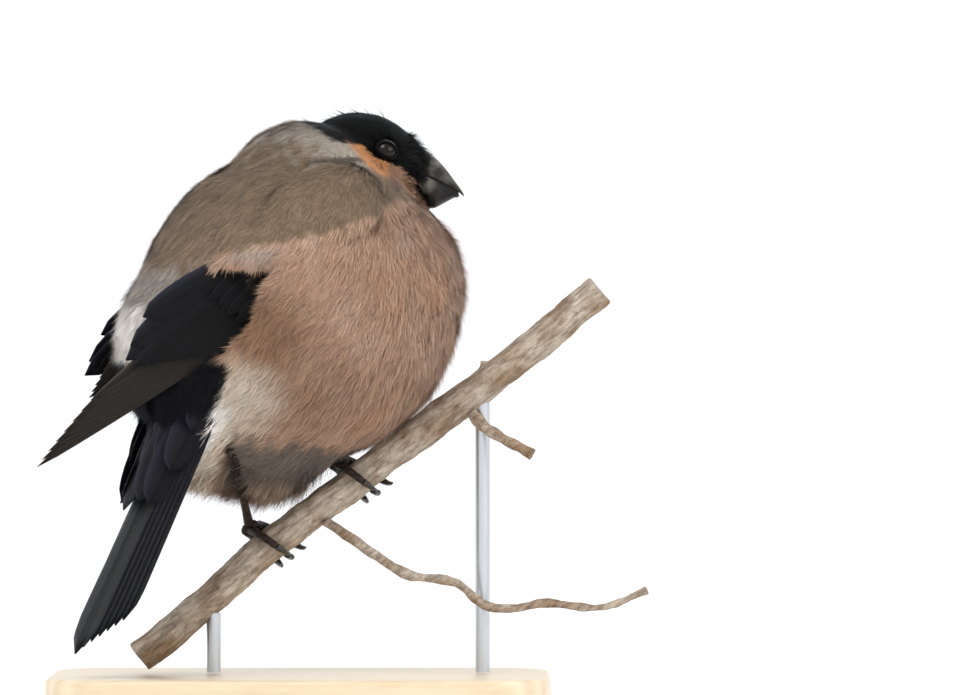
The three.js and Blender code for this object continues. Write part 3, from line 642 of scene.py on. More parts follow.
# %% [markdown]
# The lie of the coat: on the head the tufts run back from the bill, and on the body they run towards the
# vent. Each direction is laid flat on the surface. Combing hair by hand is the other way, and it can't be
# written down as a rule.

# %% Lie of the coat
BILL_TIP = np.array([34.0, 6.5, 105.0])
VENT = place(-33, 42, 0)


def lie(points, normals):
    from_bill = unit(points - BILL_TIP)
    to_vent = unit(VENT - points)
    body_share = ease(12, 19, np.linalg.norm(points - HEAD, axis=1))[:, None]
    front = ease(-8, 22, (points - BODY) @ forward)[:, None]
    to_vent = unit(to_vent - UP * 1.1 * front)
    flow = from_bill * (1 - body_share) + to_vent * body_share
    flow = flow - normals * np.sum(flow * normals, axis=1)[:, None]
    return unit(flow)


def turned(vectors, about, angle):
    c, s = np.cos(angle)[:, None], np.sin(angle)[:, None]
    return vectors * c + np.cross(about, vectors) * s


print("lie of the coat ready")

# %% [markdown]
# Every tuft needs a root on the outer surface, with its normal and its place in the skin's unwrap. Blender's
# own scattering could draw the roots, but one random generator here gives the same coat on each run.

# %% Roots on the surface
outer_mesh.calc_loop_triangles()
tri_count = len(outer_mesh.loop_triangles)
tri_verts = np.empty(tri_count * 3, dtype=np.int32)
outer_mesh.loop_triangles.foreach_get("vertices", tri_verts)
tri_loops = np.empty(tri_count * 3, dtype=np.int32)
outer_mesh.loop_triangles.foreach_get("loops", tri_loops)
tri_verts, tri_loops = tri_verts.reshape(-1, 3), tri_loops.reshape(-1, 3)
corners = outer_points[tri_verts]
tri_area = 0.5 * np.linalg.norm(np.cross(corners[:, 1] - corners[:, 0], corners[:, 2] - corners[:, 0]), axis=1)
unwrap = np.empty(len(skin.data.loops) * 2, dtype=np.float32)
skin.data.uv_layers["OFBake"].data.foreach_get("uv", unwrap)
unwrap = unwrap.reshape(-1, 2)
tri_middle = corners.mean(axis=1)


def scatter(weight, count):
    """count places on the outer surface, drawn by area times weight."""
    chance = tri_area * weight
    pick = rng.choice(tri_count, size=count, p=chance / chance.sum())
    a, b = rng.random(count), rng.random(count)
    flip = a + b > 1
    a, b = np.where(flip, 1 - a, a), np.where(flip, 1 - b, b)
    shares = np.c_[1 - a - b, a, b]
    points = np.einsum("ij,ijk->ik", shares, corners[pick])
    normals = unit(np.einsum("ij,ijk->ik", shares, outer_normals[tri_verts[pick]]))
    uv = np.einsum("ij,ijk->ik", shares, unwrap[tri_loops[pick]])
    return points, normals, uv


print("surface of", round(tri_area.sum()), "square mm to cover")

# %% [markdown]
# Each tuft is a thin blade: one face with four corners and a pointed tip, three triangles in all. It leaves the
# skin, bends over and lies along its neighbours, with its tip near the outer surface. Slow waves turn
# neighbours together, so that barbs gather in soft locks, and a little chance turns each one by itself. Roots
# are painted darker, as painted shade deep in the coat, and tips a little paler, as painted light, which gives
# the coat its depth. A blade takes its colour from the markings a little past its middle, so that a marking's
# edge shows where the eye sees it. Round hairs would look finer, but would take many times the triangles.

# %% One coat piece
BLADE_PATCH = 0.003
# Painted shade darkens each blade towards its root, and painted light makes its tip a little paler.
BLADE_ROOT_SHADE_TIP_LIGHT = np.array([0.62, 0.62, 0.92, 0.92, 1.12])
BAR_SPACING = 1.5


def coat(name, weight, count, length, width, lift, spread, curve_radius, material, tone=0.12, sag=0.0,
         along=None, bars=0.0):
    points, normals, uv = scatter(weight, count)
    flow = lie(points, normals) if along is None else \
        unit(along - normals * (normals @ np.asarray(along))[:, None])
    flow = turned(flow, normals, waves(points, 7, 21) * spread * 0.9 + waves(points, 2.5, 22) * spread * 0.6
                  + rng.normal(size=count) * spread * 0.5)
    side = np.cross(normals, flow)
    reach = length * (0.75 + 0.5 * rng.random(count)) * (1 + 0.12 * waves(points, 4, 23))
    eye_distance = np.min([np.linalg.norm(points - centre, axis=1) for centre in eye_places], axis=0)
    reach *= 0.3 + 0.7 * ease(3.0, 7.5, eye_distance)
    for wing in wings.values():
        ws, ww, wh = wing_places(wing, points)
        reach *= 1 - 0.4 * ease(6, 2, wing_front(ww) - ws) * (ww > -9) * (ww < 8) * (wh > -6)
    half = 0.5 * width * (0.7 + 0.6 * rng.random(count))
    rise = lift * (0.4 + 1.2 * rng.random(count) ** 2) + 0.25 * lift * waves(points, 3.5, 24)
    depth = coat_depth(points) * 0.8
    bend = rng.normal(size=count) * 0.10 * reach
    drop = reach ** 2 / (2 * curve_radius)
    stations = [(0.0, -depth, 0.8), (0.45, rise * 0.35 - drop * 0.2 - 0.25 * depth, 1.0)]
    rows = []
    for share, height, wide in stations:
        middle = points + flow * (reach * share)[:, None] + normals * height[:, None] \
            + side * (bend * share ** 2)[:, None]
        rows += [middle - side * (half * wide)[:, None], middle + side * (half * wide)[:, None]]
    tip = points + flow * reach[:, None] + normals * (rise - drop)[:, None] + side * bend[:, None]
    tip[:, 2] -= sag * reach
    rows.append(tip)
    verts = np.stack(rows, axis=1).reshape(-1, 3)
    first = np.arange(count)[:, None] * 5
    quads = first + np.array([0, 1, 3, 2])
    tips = first + np.array([2, 3, 4])
    base = markings(points + flow * (0.6 * reach)[:, None])
    shade = 1 + tone * rng.normal(size=count) + 0.06 * waves(points, 3, 25)
    ripple = (points @ (0.5 * forward + 0.86 * UP)) * 2 * math.pi / BAR_SPACING + 2.5 * waves(points, 5, 26)
    shade += bars * np.sin(ripple)
    colours = np.clip(base[:, None, :] * shade[:, None, None] * BLADE_ROOT_SHADE_TIP_LIGHT[None, :, None], 0.002, 0.95)
    patch = BLADE_PATCH * np.array([[-0.5, -0.5], [0.5, -0.5], [-0.4, 0], [0.4, 0], [0, 0.5]])
    piece = mesh_object(name, verts, [quads, tips], colours.reshape(-1, 3),
                        (uv[:, None, :] + patch[None]).reshape(-1, 2))
    finish_piece(piece, material)
    print(name, count, "blades")


# %% [markdown]
# Each part of the plumage gets a share of the surface: 1 where it grows, 0 where it doesn't, and soft between.
# No tuft grows under the folded wings, under the tail coverts, on the eye, or where the bill joins the face.
# Vertex groups painted by hand could hold these shares, but here they follow from the places named above.

# %% Where the coat grows
f_mid, r_mid = (tri_middle - BODY) @ forward, (tri_middle - BODY) @ right
z_mid = tri_middle[:, 2]
x_mid = tri_middle[:, 0]
s_mid, _, h_mid = tail_places(tri_middle)
open_skin = np.ones(tri_count)
for wing in wings.values():
    open_skin *= 1 - wing_cover(wing, tri_middle)
open_skin *= 1 - ease(4.0, 6.0, s_mid) * ease(0.0, 0.8, h_mid + 3)
eye_places = [np.array([EYE[0], HEAD[1] - side * (HEAD_HALF_WIDTH - 3.35), EYE[1]]) for side in (1, -1)]
for centre in eye_places:
    away = tri_middle - centre - [0.3, 0, 0]
    open_skin *= np.hypot(away[:, 0] / 2.5, (away[:, 2] + 0.4 * away[:, 0]) / 1.9) + (np.abs(away[:, 1]) > 5) > 1
open_skin *= (x_mid < 25.6 + 0.12 * (112 - z_mid)) | (z_mid < 101)
head_share = ease(19.5, 15.5, np.linalg.norm(tri_middle - (HEAD + [2, 0, 0]), axis=1))
cap_share = ease(-1.0, 0.2, edge_distance(x_mid, z_mid, CAP_EDGE)) * (head_share > 0.3)
above_mid = ease(-1.5, 1.5, edge_distance(f_mid, z_mid, SHOULDER_EDGE))
body_share = open_skin * (1 - head_share)
low = ease(60, 52, z_mid)
breast = body_share * (1 - above_mid) * (1 - low)
print("open to tufts:", round((tri_area * open_skin).sum()), "square mm")

# %% [markdown]
# The coat is laid in layers, as plumage is. The breast has three: long wide tufts low down, then shorter and
# narrower ones that stand off more. The mantle has two, both with faint bars. Cap, face, belly, and rump with
# vent have one each. One thick layer would hide the skin as well, but would look like felt.

# %% Coat
coat("coat_cap", open_skin * cap_share, 36000, 3.0, 0.2, 0.25, 0.2, 13, cap_barbs, 0.3)
coat("coat_face", open_skin * head_share * (1 - cap_share), 28000, 2.6, 0.18, 0.25, 0.16, 14, down_barbs,
     0.14)
coat("coat_nape_and_mantle", body_share * above_mid * ease(72, 84, z_mid), 64000, 4.0, 0.22, 0.4, 0.16, 30,
     down_barbs, 0.13, bars=0.07)
coat("coat_mantle_over", body_share * above_mid * ease(72, 84, z_mid), 56000, 3.2, 0.15, 0.7, 0.2, 30,
     down_barbs, 0.15, bars=0.09)
coat("coat_breast_under", breast, 60000, 5.4, 0.24, 0.7, 0.18, 32, down_barbs, 0.1)
coat("coat_breast_middle", breast, 64000, 5.0, 0.18, 1.2, 0.2, 32, down_barbs, 0.12)
coat("coat_breast_over", breast, 64000, 4.4, 0.15, 1.6, 0.24, 32, down_barbs, 0.14)
coat("coat_belly", body_share * low * (1 - above_mid), 52000, 5.2, 0.22, 0.8, 0.3, 26, down_barbs,
     0.16, 0.06)
coat("coat_rump_and_vent", body_share * ease(-14, -18, f_mid) * ease(84, 78, z_mid), 48000, 5.4, 0.24, 0.5, 0.14,
     26, down_barbs, 0.07)

print("coat laid")

# %% [markdown]
# Last come the loose ends that break the outline: belly fluff, a few raised tips on the crown, bristles at the
# bill's base, the fringe that hangs over the wing's front, and the dark tuft on the near shank. They could be
# left to chance in the coat itself, but they grow in known places and in their own directions.

# %% Loose ends
lowest = body_share * ease(50, 43, z_mid) * ease(-26, -20, f_mid)
coat("belly_wisps", lowest, 9000, 5.6, 0.12, 2.2, 0.55, 40, down_barbs, 0.2, 0.15)
crown_mid = cap_share * ease(117, 120, z_mid) * ease(22, 16, x_mid)
coat("crown_wisps", crown_mid, 40, 4.2, 0.45, 1.3, 0.2, 40, cap_barbs, 0.3)
bill_rim = (head_share > 0.3) * ease(21.0, 23.0, x_mid) * ease(105, 109, z_mid)
coat("bill_bristles", bill_rim, 2600, 3.0, 0.16, 1.0, 0.4, 60, cap_barbs, 0.3,
     along=np.array([1.0, 0, -0.5]))
rim = np.zeros(tri_count)
for wing in wings.values():
    ws, ww, wh = wing_places(wing, tri_middle)
    back = wing_front(ww) - ws
    rim += ease(-0.5, 0.5, back) * ease(4, 2.5, back) * (ww > -9) * (ww < 8) * (wh > -4)
coat("wing_rim_wisps", rim * open_skin, 5000, 6.0, 0.18, 1.2, 0.35, 40, down_barbs, 0.16)
shin_near = ease(1.0, 0.5, off_shin(x_mid, z_mid)) * (r_mid > 2)
coat("tibia_tuft", shin_near * body_share, 1400, 4.6, 0.2, 0.9, 0.08, 60, cap_barbs, 0.3,
     along=np.array([0.29, 0, -0.96]))
print("loose ends laid")

# %% [markdown]
# A flight feather is a stiff shaft with a flat vane of barbs on each side. Each one here is a thin closed
# leaf, arched across its width, with a raised shaft. A flat card with a see-through picture is the quick way,
# but it has no thickness and can't be exported as a solid shape. The vane's own coordinates run along and
# across it, so that the fine barb lines lean away from the shaft as real ones do.

# %% One feather
VANE_THICKNESS = 0.22
SHAFT_RISE = 0.16
ROOT_WIDTH = 0.35


def feather(root, tip, face, width, roll=0.0, bow=0.0, taper=0.6, point=0.3, arch=0.5, steps=14):
    """Points, quads and vane coordinates (across -1 to 1, along in mm) of one closed leaf."""
    along = unit(tip - root)
    length = np.linalg.norm(tip - root)
    across = unit(np.cross(along, face))
    out = unit(np.cross(across, along))
    c, s = math.cos(roll), math.sin(roll)
    across, out = across * c + out * s, out * c - across * s
    lanes = np.array([-1, -0.8, -0.5, -0.2, -0.05, 0.05, 0.2, 0.5, 0.8, 1])
    t = np.linspace(0, 1, steps)
    widen = np.minimum(1, ROOT_WIDTH + t * 2.4)
    past = np.clip((t - taper) / (1 - taper), 0, 1)
    half = 0.5 * width * widen * (np.sqrt(np.clip(1 - past ** 2.2, 0, 1)) * (1 - point * past) + 0.02)
    shaft = SHAFT_RISE * (1 - 0.75 * t)
    lift = np.where(np.abs(lanes) <= 0.05, 1.0, 0.0)
    grid = root + along * (t * length)[:, None, None] \
        + across * (lanes[None, :, None] * half[:, None, None]) \
        + out * (bow * t ** 2)[:, None, None]
    height = arch * (1 - lanes[None, :] ** 2) * (half / (0.5 * width))[:, None] + lift[None, :] * shaft[:, None]
    top = grid + out * (height + VANE_THICKNESS / 2)[:, :, None]
    low_side = grid + out * (height - lift[None, :] * shaft[:, None] * 0.5 - VANE_THICKNESS / 2)[:, :, None]
    columns = len(lanes)
    points = np.concatenate([top.reshape(-1, 3), low_side.reshape(-1, 3)])
    base = np.arange(steps * columns).reshape(steps, columns)
    under = base + steps * columns
    a, b, cc, d = base[:-1, :-1], base[:-1, 1:], base[1:, 1:], base[1:, :-1]
    quads = [np.stack([a, b, cc, d], -1).reshape(-1, 4)]
    a, b, cc, d = under[:-1, :-1], under[:-1, 1:], under[1:, 1:], under[1:, :-1]
    quads.append(np.stack([a, d, cc, b], -1).reshape(-1, 4))
    ring = np.concatenate([base[0, :], base[1:, -1], base[-1, -2::-1], base[-2:0:-1, 0]])
    ring_under = ring + steps * columns
    quads.append(np.stack([ring, ring_under, np.roll(ring_under, -1), np.roll(ring, -1)], -1))
    vane = np.stack(np.broadcast_arrays(lanes[None, :], (t * length)[:, None]), -1).reshape(-1, 2)
    return points, np.concatenate(quads), np.concatenate([vane, vane])


def feather_piece(name, leaves, paint, material, stands_for=()):
    """Joins leaves. paint gives colours from a feather's number and the places across its vane."""
    points, quads, vanes, colours, start = [], [], [], [], 0
    for k, (leaf_points, leaf_quads, leaf_vane) in enumerate(leaves):
        points.append(leaf_points)
        quads.append(leaf_quads + start)
        vanes.append(leaf_vane)
        colours.append(paint(k, leaf_vane[:, 0]))
        start += len(leaf_points)
    vanes = np.concatenate(vanes)
    piece = mesh_object(name, np.concatenate(points), [np.concatenate(quads)], np.concatenate(colours),
                        vanes, "vane")
    finish_piece(piece, material, stands_for)
    print(name, len(leaves), "feathers")


print("feather helpers ready")

# %% [markdown]
# Vane keratin is smoother than down: a satin black whose colours are a little cool. The barbs are drawn
# 0.42 mm apart, coarse enough to show, and lean about 30 degrees off the shaft. They could be cut as real
# slits, but in a whole vane the barbs hook together, and only a fine ribbing is seen.

# %% Material: vane keratin
BARB_SPACING = 0.42
BARB_LEAN = 5.0


def vane_keratin(name, roughness, relief_height):
    material, tree, shader = new_material(name)
    paint = add_node(tree, "ShaderNodeAttribute", {"attribute_name": "markings"})
    vane = add_node(tree, "ShaderNodeUVMap", {"uv_map": "vane"})
    parts = add_node(tree, "ShaderNodeSeparateXYZ", {}, {"Vector": vane.outputs["UV"]})
    off_shaft = add_node(tree, "ShaderNodeMath", {"operation": "ABSOLUTE"}, {0: parts.outputs["X"]})
    lean = add_node(tree, "ShaderNodeMath", {"operation": "MULTIPLY_ADD", 1: -BARB_LEAN},
                    {0: off_shaft.outputs["Value"], 2: parts.outputs["Y"]})
    wobble = add_node(tree, "ShaderNodeTexNoise", {"Scale": 1 / (2.5 * MM), "Detail": 2.0})
    bent = add_node(tree, "ShaderNodeMath", {"operation": "MULTIPLY_ADD", 1: 0.9},
                    {0: wobble.outputs["Fac"], 2: lean.outputs["Value"]})
    phase = add_node(tree, "ShaderNodeMath", {"operation": "MULTIPLY", 1: 2 * math.pi / BARB_SPACING},
                     {0: bent.outputs["Value"]})
    barbs = add_node(tree, "ShaderNodeMath", {"operation": "SINE"}, {0: phase.outputs["Value"]})
    tint = add_node(tree, "ShaderNodeMapRange",
                    {"From Min": -1.0, "From Max": 1.0, "To Min": 0.72, "To Max": 1.2},
                    {"Value": barbs.outputs["Value"]})
    mixed = add_node(tree, "ShaderNodeVectorMath", {"operation": "SCALE"},
                     {0: paint.outputs["Color"], "Scale": tint.outputs["Result"]})
    tree.links.new(mixed.outputs["Vector"], shader.inputs["Base Color"])
    relief = add_node(tree, "ShaderNodeBump", {"Strength": 0.5, "Distance": relief_height * MM},
                      {"Height": barbs.outputs["Value"]})
    tree.links.new(relief.outputs["Normal"], shader.inputs["Normal"])
    shader.inputs["Roughness"].default_value = roughness
    shader.inputs["Specular IOR Level"].default_value = 0.12
    shader.inputs["Sheen Weight"].default_value = 0.03
    return material


black_vane = vane_keratin("black_vane_keratin", 0.5, 0.05)


def shaded(hex_colour, count):
    return np.tile(linear(hex_colour)[:3], (count, 1))


def flight_paint(feathers):
    """Black-blue vanes with a lighter cool outer edge of painted sheen, or brown ones with a thin pale outer
    edge, one rule a feather.
    """
    def paint(k, across):
        ground, edge, edge_side = feathers[k]
        colour = shaded(ground, len(across))
        if edge:
            share = ease(0.72, 0.9, across * edge_side)[:, None]
            colour = colour * (1 - share) + shaded(edge, len(across)) * share
        shaft = (np.abs(across) <= 0.06)[:, None]
        return np.where(shaft, colour * 0.45, colour)
    return paint


print("vane material made")

# %% [markdown]
# The folded wing is a stack: long brown-edged primaries lowest, black secondaries over them, then three
# broad blue-black tertials, and the dark greater coverts on top at the front. An array modifier could repeat
# one feather, but each tier changes in length, place and colour from feather to feather. The near wing keeps
# the measured model's plan. The far wing's feathers are moved and its primaries shortened, because the
# photograph shows its tip elsewhere.

# %% Wings
def wing_feathers(wing):
    side = wing["side"]
    shifted, shorter, reach = (0, 0, 1.0) if side > 0 else (3.4, 8.0, 1.26)
    leaves, looks = [], []
    primaries = 8
    for k in range(primaries):
        t = k / (primaries - 1)
        leaves.append(feather(
            on_wing(wing, 22, 3.4 - 4 * t, -1.7 + 1.9 * t),
            on_wing(wing, WING_LENGTH - 1.0 - shorter - 17 * t ** 1.2, 0.5 - 3.6 * t, -1.3 + 1.8 * t),
            wing["face"], 5.8, roll=0.1 * side, taper=0.4, point=0.62, arch=0.3))
        # The far wing's primaries are painted darker than the near wing's, as painted shade.
        looks.append(("#26211d", "#8a7760" if side > 0 and k in (0, 4) else "#544a40", side) if side > 0
                     else ("#131214", "#3a342f", side))
    secondaries = 7
    for k in range(secondaries):
        t = k / (secondaries - 1)
        leaves.append(feather(
            on_wing(wing, 15, 4.0 - 6.5 * t, -3.0 + 1.6 * t),
            on_wing(wing, (41 + 13 * t) * reach, 4.6 - 7 * t + 0.3 * shifted, 0.6 + 2.0 * t),
            wing["face"], 5.4, roll=0.16 * side, arch=0.4, taper=0.72, point=0.25))
        # The secondaries' lighter cool edges are painted sheen.
        looks.append(("#060608", "#1d1d24", side))
    for k, (s, w, root) in enumerate([(54.6, -4.7, -3.2), (52.0, -6.4, -4.0), (46.4, -9.3, -4.6)]):
        leaves.append(feather(
            on_wing(wing, 15, root, -2.6 + 0.2 * k), on_wing(wing, s * reach, w + shifted, 2.8 + 0.5 * k),
            wing["face"], 7.2 - 0.3 * k, roll=0.16 * side, arch=0.55, taper=0.64, point=0.16))
        # The tertials' lighter blue-grey edges are painted sheen.
        looks.append(("#0d0d12", "#2c2c38", side))
    for k in range(5):
        t = k / 4
        leaves.append(feather(
            on_wing(wing, 12, 2.0 - 6.0 * t, -2.6 + 0.6 * t),
            on_wing(wing, 32.0 + 2.0 * t, 3.2 - 9.6 * t, 1.1 + 0.8 * t),
            wing["face"], 5.2, roll=0.12 * side, arch=0.25, taper=0.5, point=0.45))
        # The coverts' lighter cool edges are painted sheen.
        looks.append(("#070709", "#14141a", side))
    return leaves, looks


for side_name, wing in wings.items():
    leaves, looks = wing_feathers(wing)
    feather_piece("wing_feathers_" + side_name, leaves, flight_paint(looks), black_vane,
                  ["wing_" + side_name + "_flight"])

# %% [markdown]
# The tail is twelve long feathers in two overlapping fans. Those of the near fan get shorter outwards. Blunt
# violet-black coverts lie over its root in tiers, and soft cream ones under it. One flat plate would give the
# same outline, but the edges of the feathers are what makes it a tail.

# %% Tail
tail_leaves, tail_looks = [], []
for k in range(6):
    # Side 1 is the near fan, and its outer feathers are the shorter ones.
    for side in (1, -1):
        short = 1.0 + 1.5 * k if side > 0 else 0.6 - 0.1 * k
        tail_leaves.append(feather(
            on_tail(-6, side * (0.8 + 1.15 * k), -0.5 - 0.36 * k),
            on_tail(TAIL_LENGTH - short, 4.6 + 1.5 * k if side > 0 else 2.4 - 0.9 * k,
                    0.9 - 0.46 * k - 0.2 * side),
            tail_out, 8.4, roll=-0.06 * side, taper=0.86, point=0.05, arch=0.4, steps=18))
        # The tail's lighter cool edges, stronger on the far fan, are painted sheen.
        tail_looks.append(("#111116", "#16161c" if side > 0 else "#2a2a34", -side))
feather_piece("tail_feathers", tail_leaves, flight_paint(tail_looks), black_vane, ["tail"])


def covert_tiers(tiers, sign):
    """Tiers wrapped round the tail's root: each is a count, where it starts and ends, radii and its spread."""
    leaves = []
    for count, root, tip, root_radius, tip_radius, spread, width in tiers:
        for k in range(count):
            turn = math.radians(-spread + 2 * spread * k / (count - 1))
            low, high = root_radius * math.sin(turn), tip_radius * math.sin(turn)
            leaves.append(feather(
                on_tail(root, low, sign * (root_radius * 0.5 * math.cos(turn) - 0.8)),
                on_tail(tip + rng.uniform(-0.8, 0.8) - 3.0 * abs(math.sin(turn)), high,
                        sign * (0.36 * tip_radius * math.cos(turn) + 0.8)),
                unit(tail_out * sign * math.cos(turn) + right * math.sin(turn)), width, bow=0.3,
                taper=0.6, point=0.1, arch=0.6))
    return leaves


upper = covert_tiers([(5, -2, 27, 9.0, 6.5, 70, 8.0), (6, -4, 19, 10.5, 9.0, 74, 7.6),
                      (6, -6, 11.5, 11.0, 10.5, 80, 7.4)], 1)
# The upper coverts' lighter violet edges are painted sheen.
feather_piece("tail_coverts", upper, flight_paint([("#14131a", "#2b2935", 1)] * len(upper)), black_vane,
              ["tail_coverts_upper"])
under = covert_tiers([(5, -5, 21, 7.5, 5.4, 55, 6.0), (4, -7, 14, 8.5, 7.0, 60, 6.0)], -1)
cream_vane = vane_keratin("cream_covert_vane", 0.8, 0.03)
feather_piece("tail_coverts_below", under, flight_paint([("#d2c4b2", "#e0d5c6", 1)] * len(under)), cream_vane,
              ["tail_coverts_under"])

# %% [markdown]
# The bill is horn: two deep, round-sided halves that meet along a line bent down at the corner of the
# mouth. The sections are those of the measured model, with straight runs between them, and a fine remesh and a
# smoothing take the corners off. A subdivided box would round off the cutting edges too.

# %% Shape of a bill half
def mandible(name, stations, steps=26, turns=20):
    stations = np.array(stations)
    t_in, t_out = np.linspace(0, 1, len(stations)), np.linspace(0, 1, steps)
    x, edge, crest, half = (np.interp(t_out, t_in, column) for column in stations.T)
    turn = np.linspace(0, math.pi, turns)
    rings = np.stack([np.broadcast_to(x[:, None], (steps, turns)),
                      HEAD[1] + np.cos(turn)[None] * half[:, None],
                      edge[:, None] + np.sin(turn)[None] ** 0.85 * (crest - edge)[:, None]], -1)
    points = np.concatenate([rings.reshape(-1, 3), rings[0].mean(axis=0)[None], rings[-1].mean(axis=0)[None]])
    grid = np.arange(steps * turns).reshape(steps, turns)
    nxt = np.roll(grid, -1, axis=1)
    quads = np.stack([grid[:-1], nxt[:-1], nxt[1:], grid[1:]], -1).reshape(-1, 4)
    caps = [(steps * turns, nxt[0, j], grid[0, j]) for j in range(turns)]
    caps += [(steps * turns + 1, grid[-1, j], nxt[-1, j]) for j in range(turns)]
    if crest[0] > edge[0]:
        quads, caps = quads[:, ::-1], [cap[::-1] for cap in caps]
    piece = mesh_object(name, points, [quads, caps])
    applied(piece, ("REMESH", {"mode": "VOXEL", "voxel_size": 0.16 * MM}),
            ("SMOOTH", {"factor": 0.5, "iterations": 6}))
    set_smooth(piece.data)
    return piece


print("bill helper ready")

# %% [markdown]
# Horn is dull and half glossy, mottled from near black to grey, with fine streaks that run along the bill.
# Painted light makes it paler on top and painted shade darker low down, and a painted highlight makes it paler
# at one spot by the base on the near side. A painted picture could hold this, but noise and two soft gradients
# say it in the bill's own millimetres.

# %% Material: bill horn
bill_horn, tree, shader = new_material("bill_horn")
where = add_node(tree, "ShaderNodeTexCoord")
mottle = add_node(tree, "ShaderNodeTexNoise", {"Scale": 1 / (3.0 * MM), "Detail": 4.0},
                  {"Vector": where.outputs["Object"]})
stretch = add_node(tree, "ShaderNodeMapping", {"Scale": (1, 6, 6)}, {"Vector": where.outputs["Object"]})
streak = add_node(tree, "ShaderNodeTexNoise", {"Scale": 1 / (1.6 * MM), "Detail": 3.0},
                  {"Vector": stretch.outputs["Vector"]})
horn_tone = add_node(tree, "ShaderNodeValToRGB", {}, {"Fac": mottle.outputs["Fac"]})
horn_tone.color_ramp.elements[0].position = 0.35
horn_tone.color_ramp.elements[1].position = 0.7
horn_tone.color_ramp.elements[0].color = linear("#1f1c1a")
horn_tone.color_ramp.elements[1].color = linear("#5b5651")
# Painted highlight: a pale spot by the base of the lower mandible, on the near side only.
spot = add_node(tree, "ShaderNodeVectorMath", {"operation": "DISTANCE", 1: (26.0 * MM, 1.9 * MM, 106.4 * MM)},
                {0: where.outputs["Object"]})
painted_highlight_near_base = add_node(tree, "ShaderNodeMapRange",
                     {"From Min": 0.4 * MM, "From Max": 2.8 * MM, "To Min": 0.8, "To Max": 0.0},
                     {"Value": spot.outputs["Value"]})
# Painted light and shade: the horn is paler towards the bill's top and darker low down.
slope = add_node(tree, "ShaderNodeVectorMath", {"operation": "DOT_PRODUCT", 1: (0.5, 0, 0.866)},
                 {0: where.outputs["Object"]})
painted_light_from_above = add_node(tree, "ShaderNodeMapRange",
                       {"From Min": 106.2 * MM, "From Max": 109.8 * MM, "To Min": 0.22, "To Max": 1.35},
                       {"Value": slope.outputs["Value"]})
shaded_horn = add_node(tree, "ShaderNodeVectorMath", {"operation": "SCALE"},
                       {0: horn_tone.outputs["Color"], "Scale": painted_light_from_above.outputs["Result"]})
with_painted_highlight = add_node(tree, "ShaderNodeMix", {"data_type": "RGBA", 7: linear("#8d867a")},
                 {0: painted_highlight_near_base.outputs["Result"], 6: shaded_horn.outputs["Vector"]})
tree.links.new(with_painted_highlight.outputs[2], shader.inputs["Base Color"])
relief = add_node(tree, "ShaderNodeBump", {"Strength": 0.25, "Distance": 0.08 * MM},
                  {"Height": streak.outputs["Fac"]})
tree.links.new(relief.outputs["Normal"], shader.inputs["Normal"])
shader.inputs["Roughness"].default_value = 0.42
shader.inputs["Specular IOR Level"].default_value = 0.2
print("horn made")

# %% [markdown]
# Each half is a list of sections from the face to the tip: how far forward it is, the height of its edge, the
# height of its crest, and half its width.

# %% Bill
upper_bill = mandible("upper_bill", [
    (23.5, 109.4, 113.2, 4.3), (26.6, 108.0, 112.7, BILL_HALF_WIDTH), (28.4, 107.1, 111.5, 4.3),
    (30.3, 106.0, 109.4, 3.4), (32.0, 105.1, 107.1, 2.2), (33.4, 104.2, 105.2, 1.1), (34.1, 103.5, 104.1, 0.4)])
lower_bill = mandible("lower_bill", [
    (23.8, 108.8, 102.6, 4.2), (26.6, 107.5, 101.0, BILL_HALF_WIDTH), (28.2, 106.7, 101.2, 4.3),
    (30.2, 105.6, 102.3, 3.2), (32.0, 104.6, 103.3, 1.9), (33.1, 104.0, 103.4, 0.8)])
finish_piece(upper_bill, bill_horn, ["bill_upper"])
finish_piece(lower_bill, bill_horn, ["bill_lower"])
print("bill made")

# %% [markdown]
# Between the halves a dark, dull sheet fills the mouth as a painted shadow, so that its line reads as a shadow
# and no light shows through. A black line in the horn's material would be flat, and would miss the line where
# the bill turns.

# %% Mouth
mouth_shadow_fill, tree, shader = new_material("mouth_shadow_fill")
where = add_node(tree, "ShaderNodeTexCoord")
moist = add_node(tree, "ShaderNodeTexNoise", {"Scale": 1 / (0.7 * MM)}, {"Vector": where.outputs["Object"]})
tone = add_node(tree, "ShaderNodeValToRGB", {}, {"Fac": moist.outputs["Fac"]})
# Near-black tones: the sheet is a painted shadow in the gap between the bill's halves.
tone.color_ramp.elements[0].color = linear("#070606")
tone.color_ramp.elements[1].color = linear("#171312")
tree.links.new(tone.outputs["Color"], shader.inputs["Base Color"])
shader.inputs["Roughness"].default_value = 0.6
mouth_line = np.array([(24.2, 108.9, 4.1), (26.6, 107.75, 4.4), (28.3, 106.9, 4.0), (30.2, 105.8, 3.0),
                       (32.0, 104.85, 1.8), (33.0, 104.3, 0.8)])
section = np.array([(-1, -0.35), (1, -0.35), (1, 0.35), (-1, 0.35)])
rings = [[(x, HEAD[1] + 0.93 * half * a, z + b) for a, b in section] for x, z, half in mouth_line]
quads = [(i * 4 + j, (i + 1) * 4 + j, (i + 1) * 4 + (j + 1) % 4, i * 4 + (j + 1) % 4)
         for i in range(5) for j in range(4)]
quads += [(0, 1, 2, 3), (23, 22, 21, 20)]
mouth = mesh_object("mouth_shadow_lining", [p for ring in rings for p in ring], [quads])
finish_piece(mouth, mouth_shadow_fill)
print("dark line of the mouth made")

# %% [markdown]
# The eye is wet and almost black, with a thin clear coat that mirrors the light panels. The lids are bare, dull
# skin with fine pores about 0.3 mm apart. A picture of an iris would be wasted here, because in this bird pupil
# and iris can't be told apart at this size.

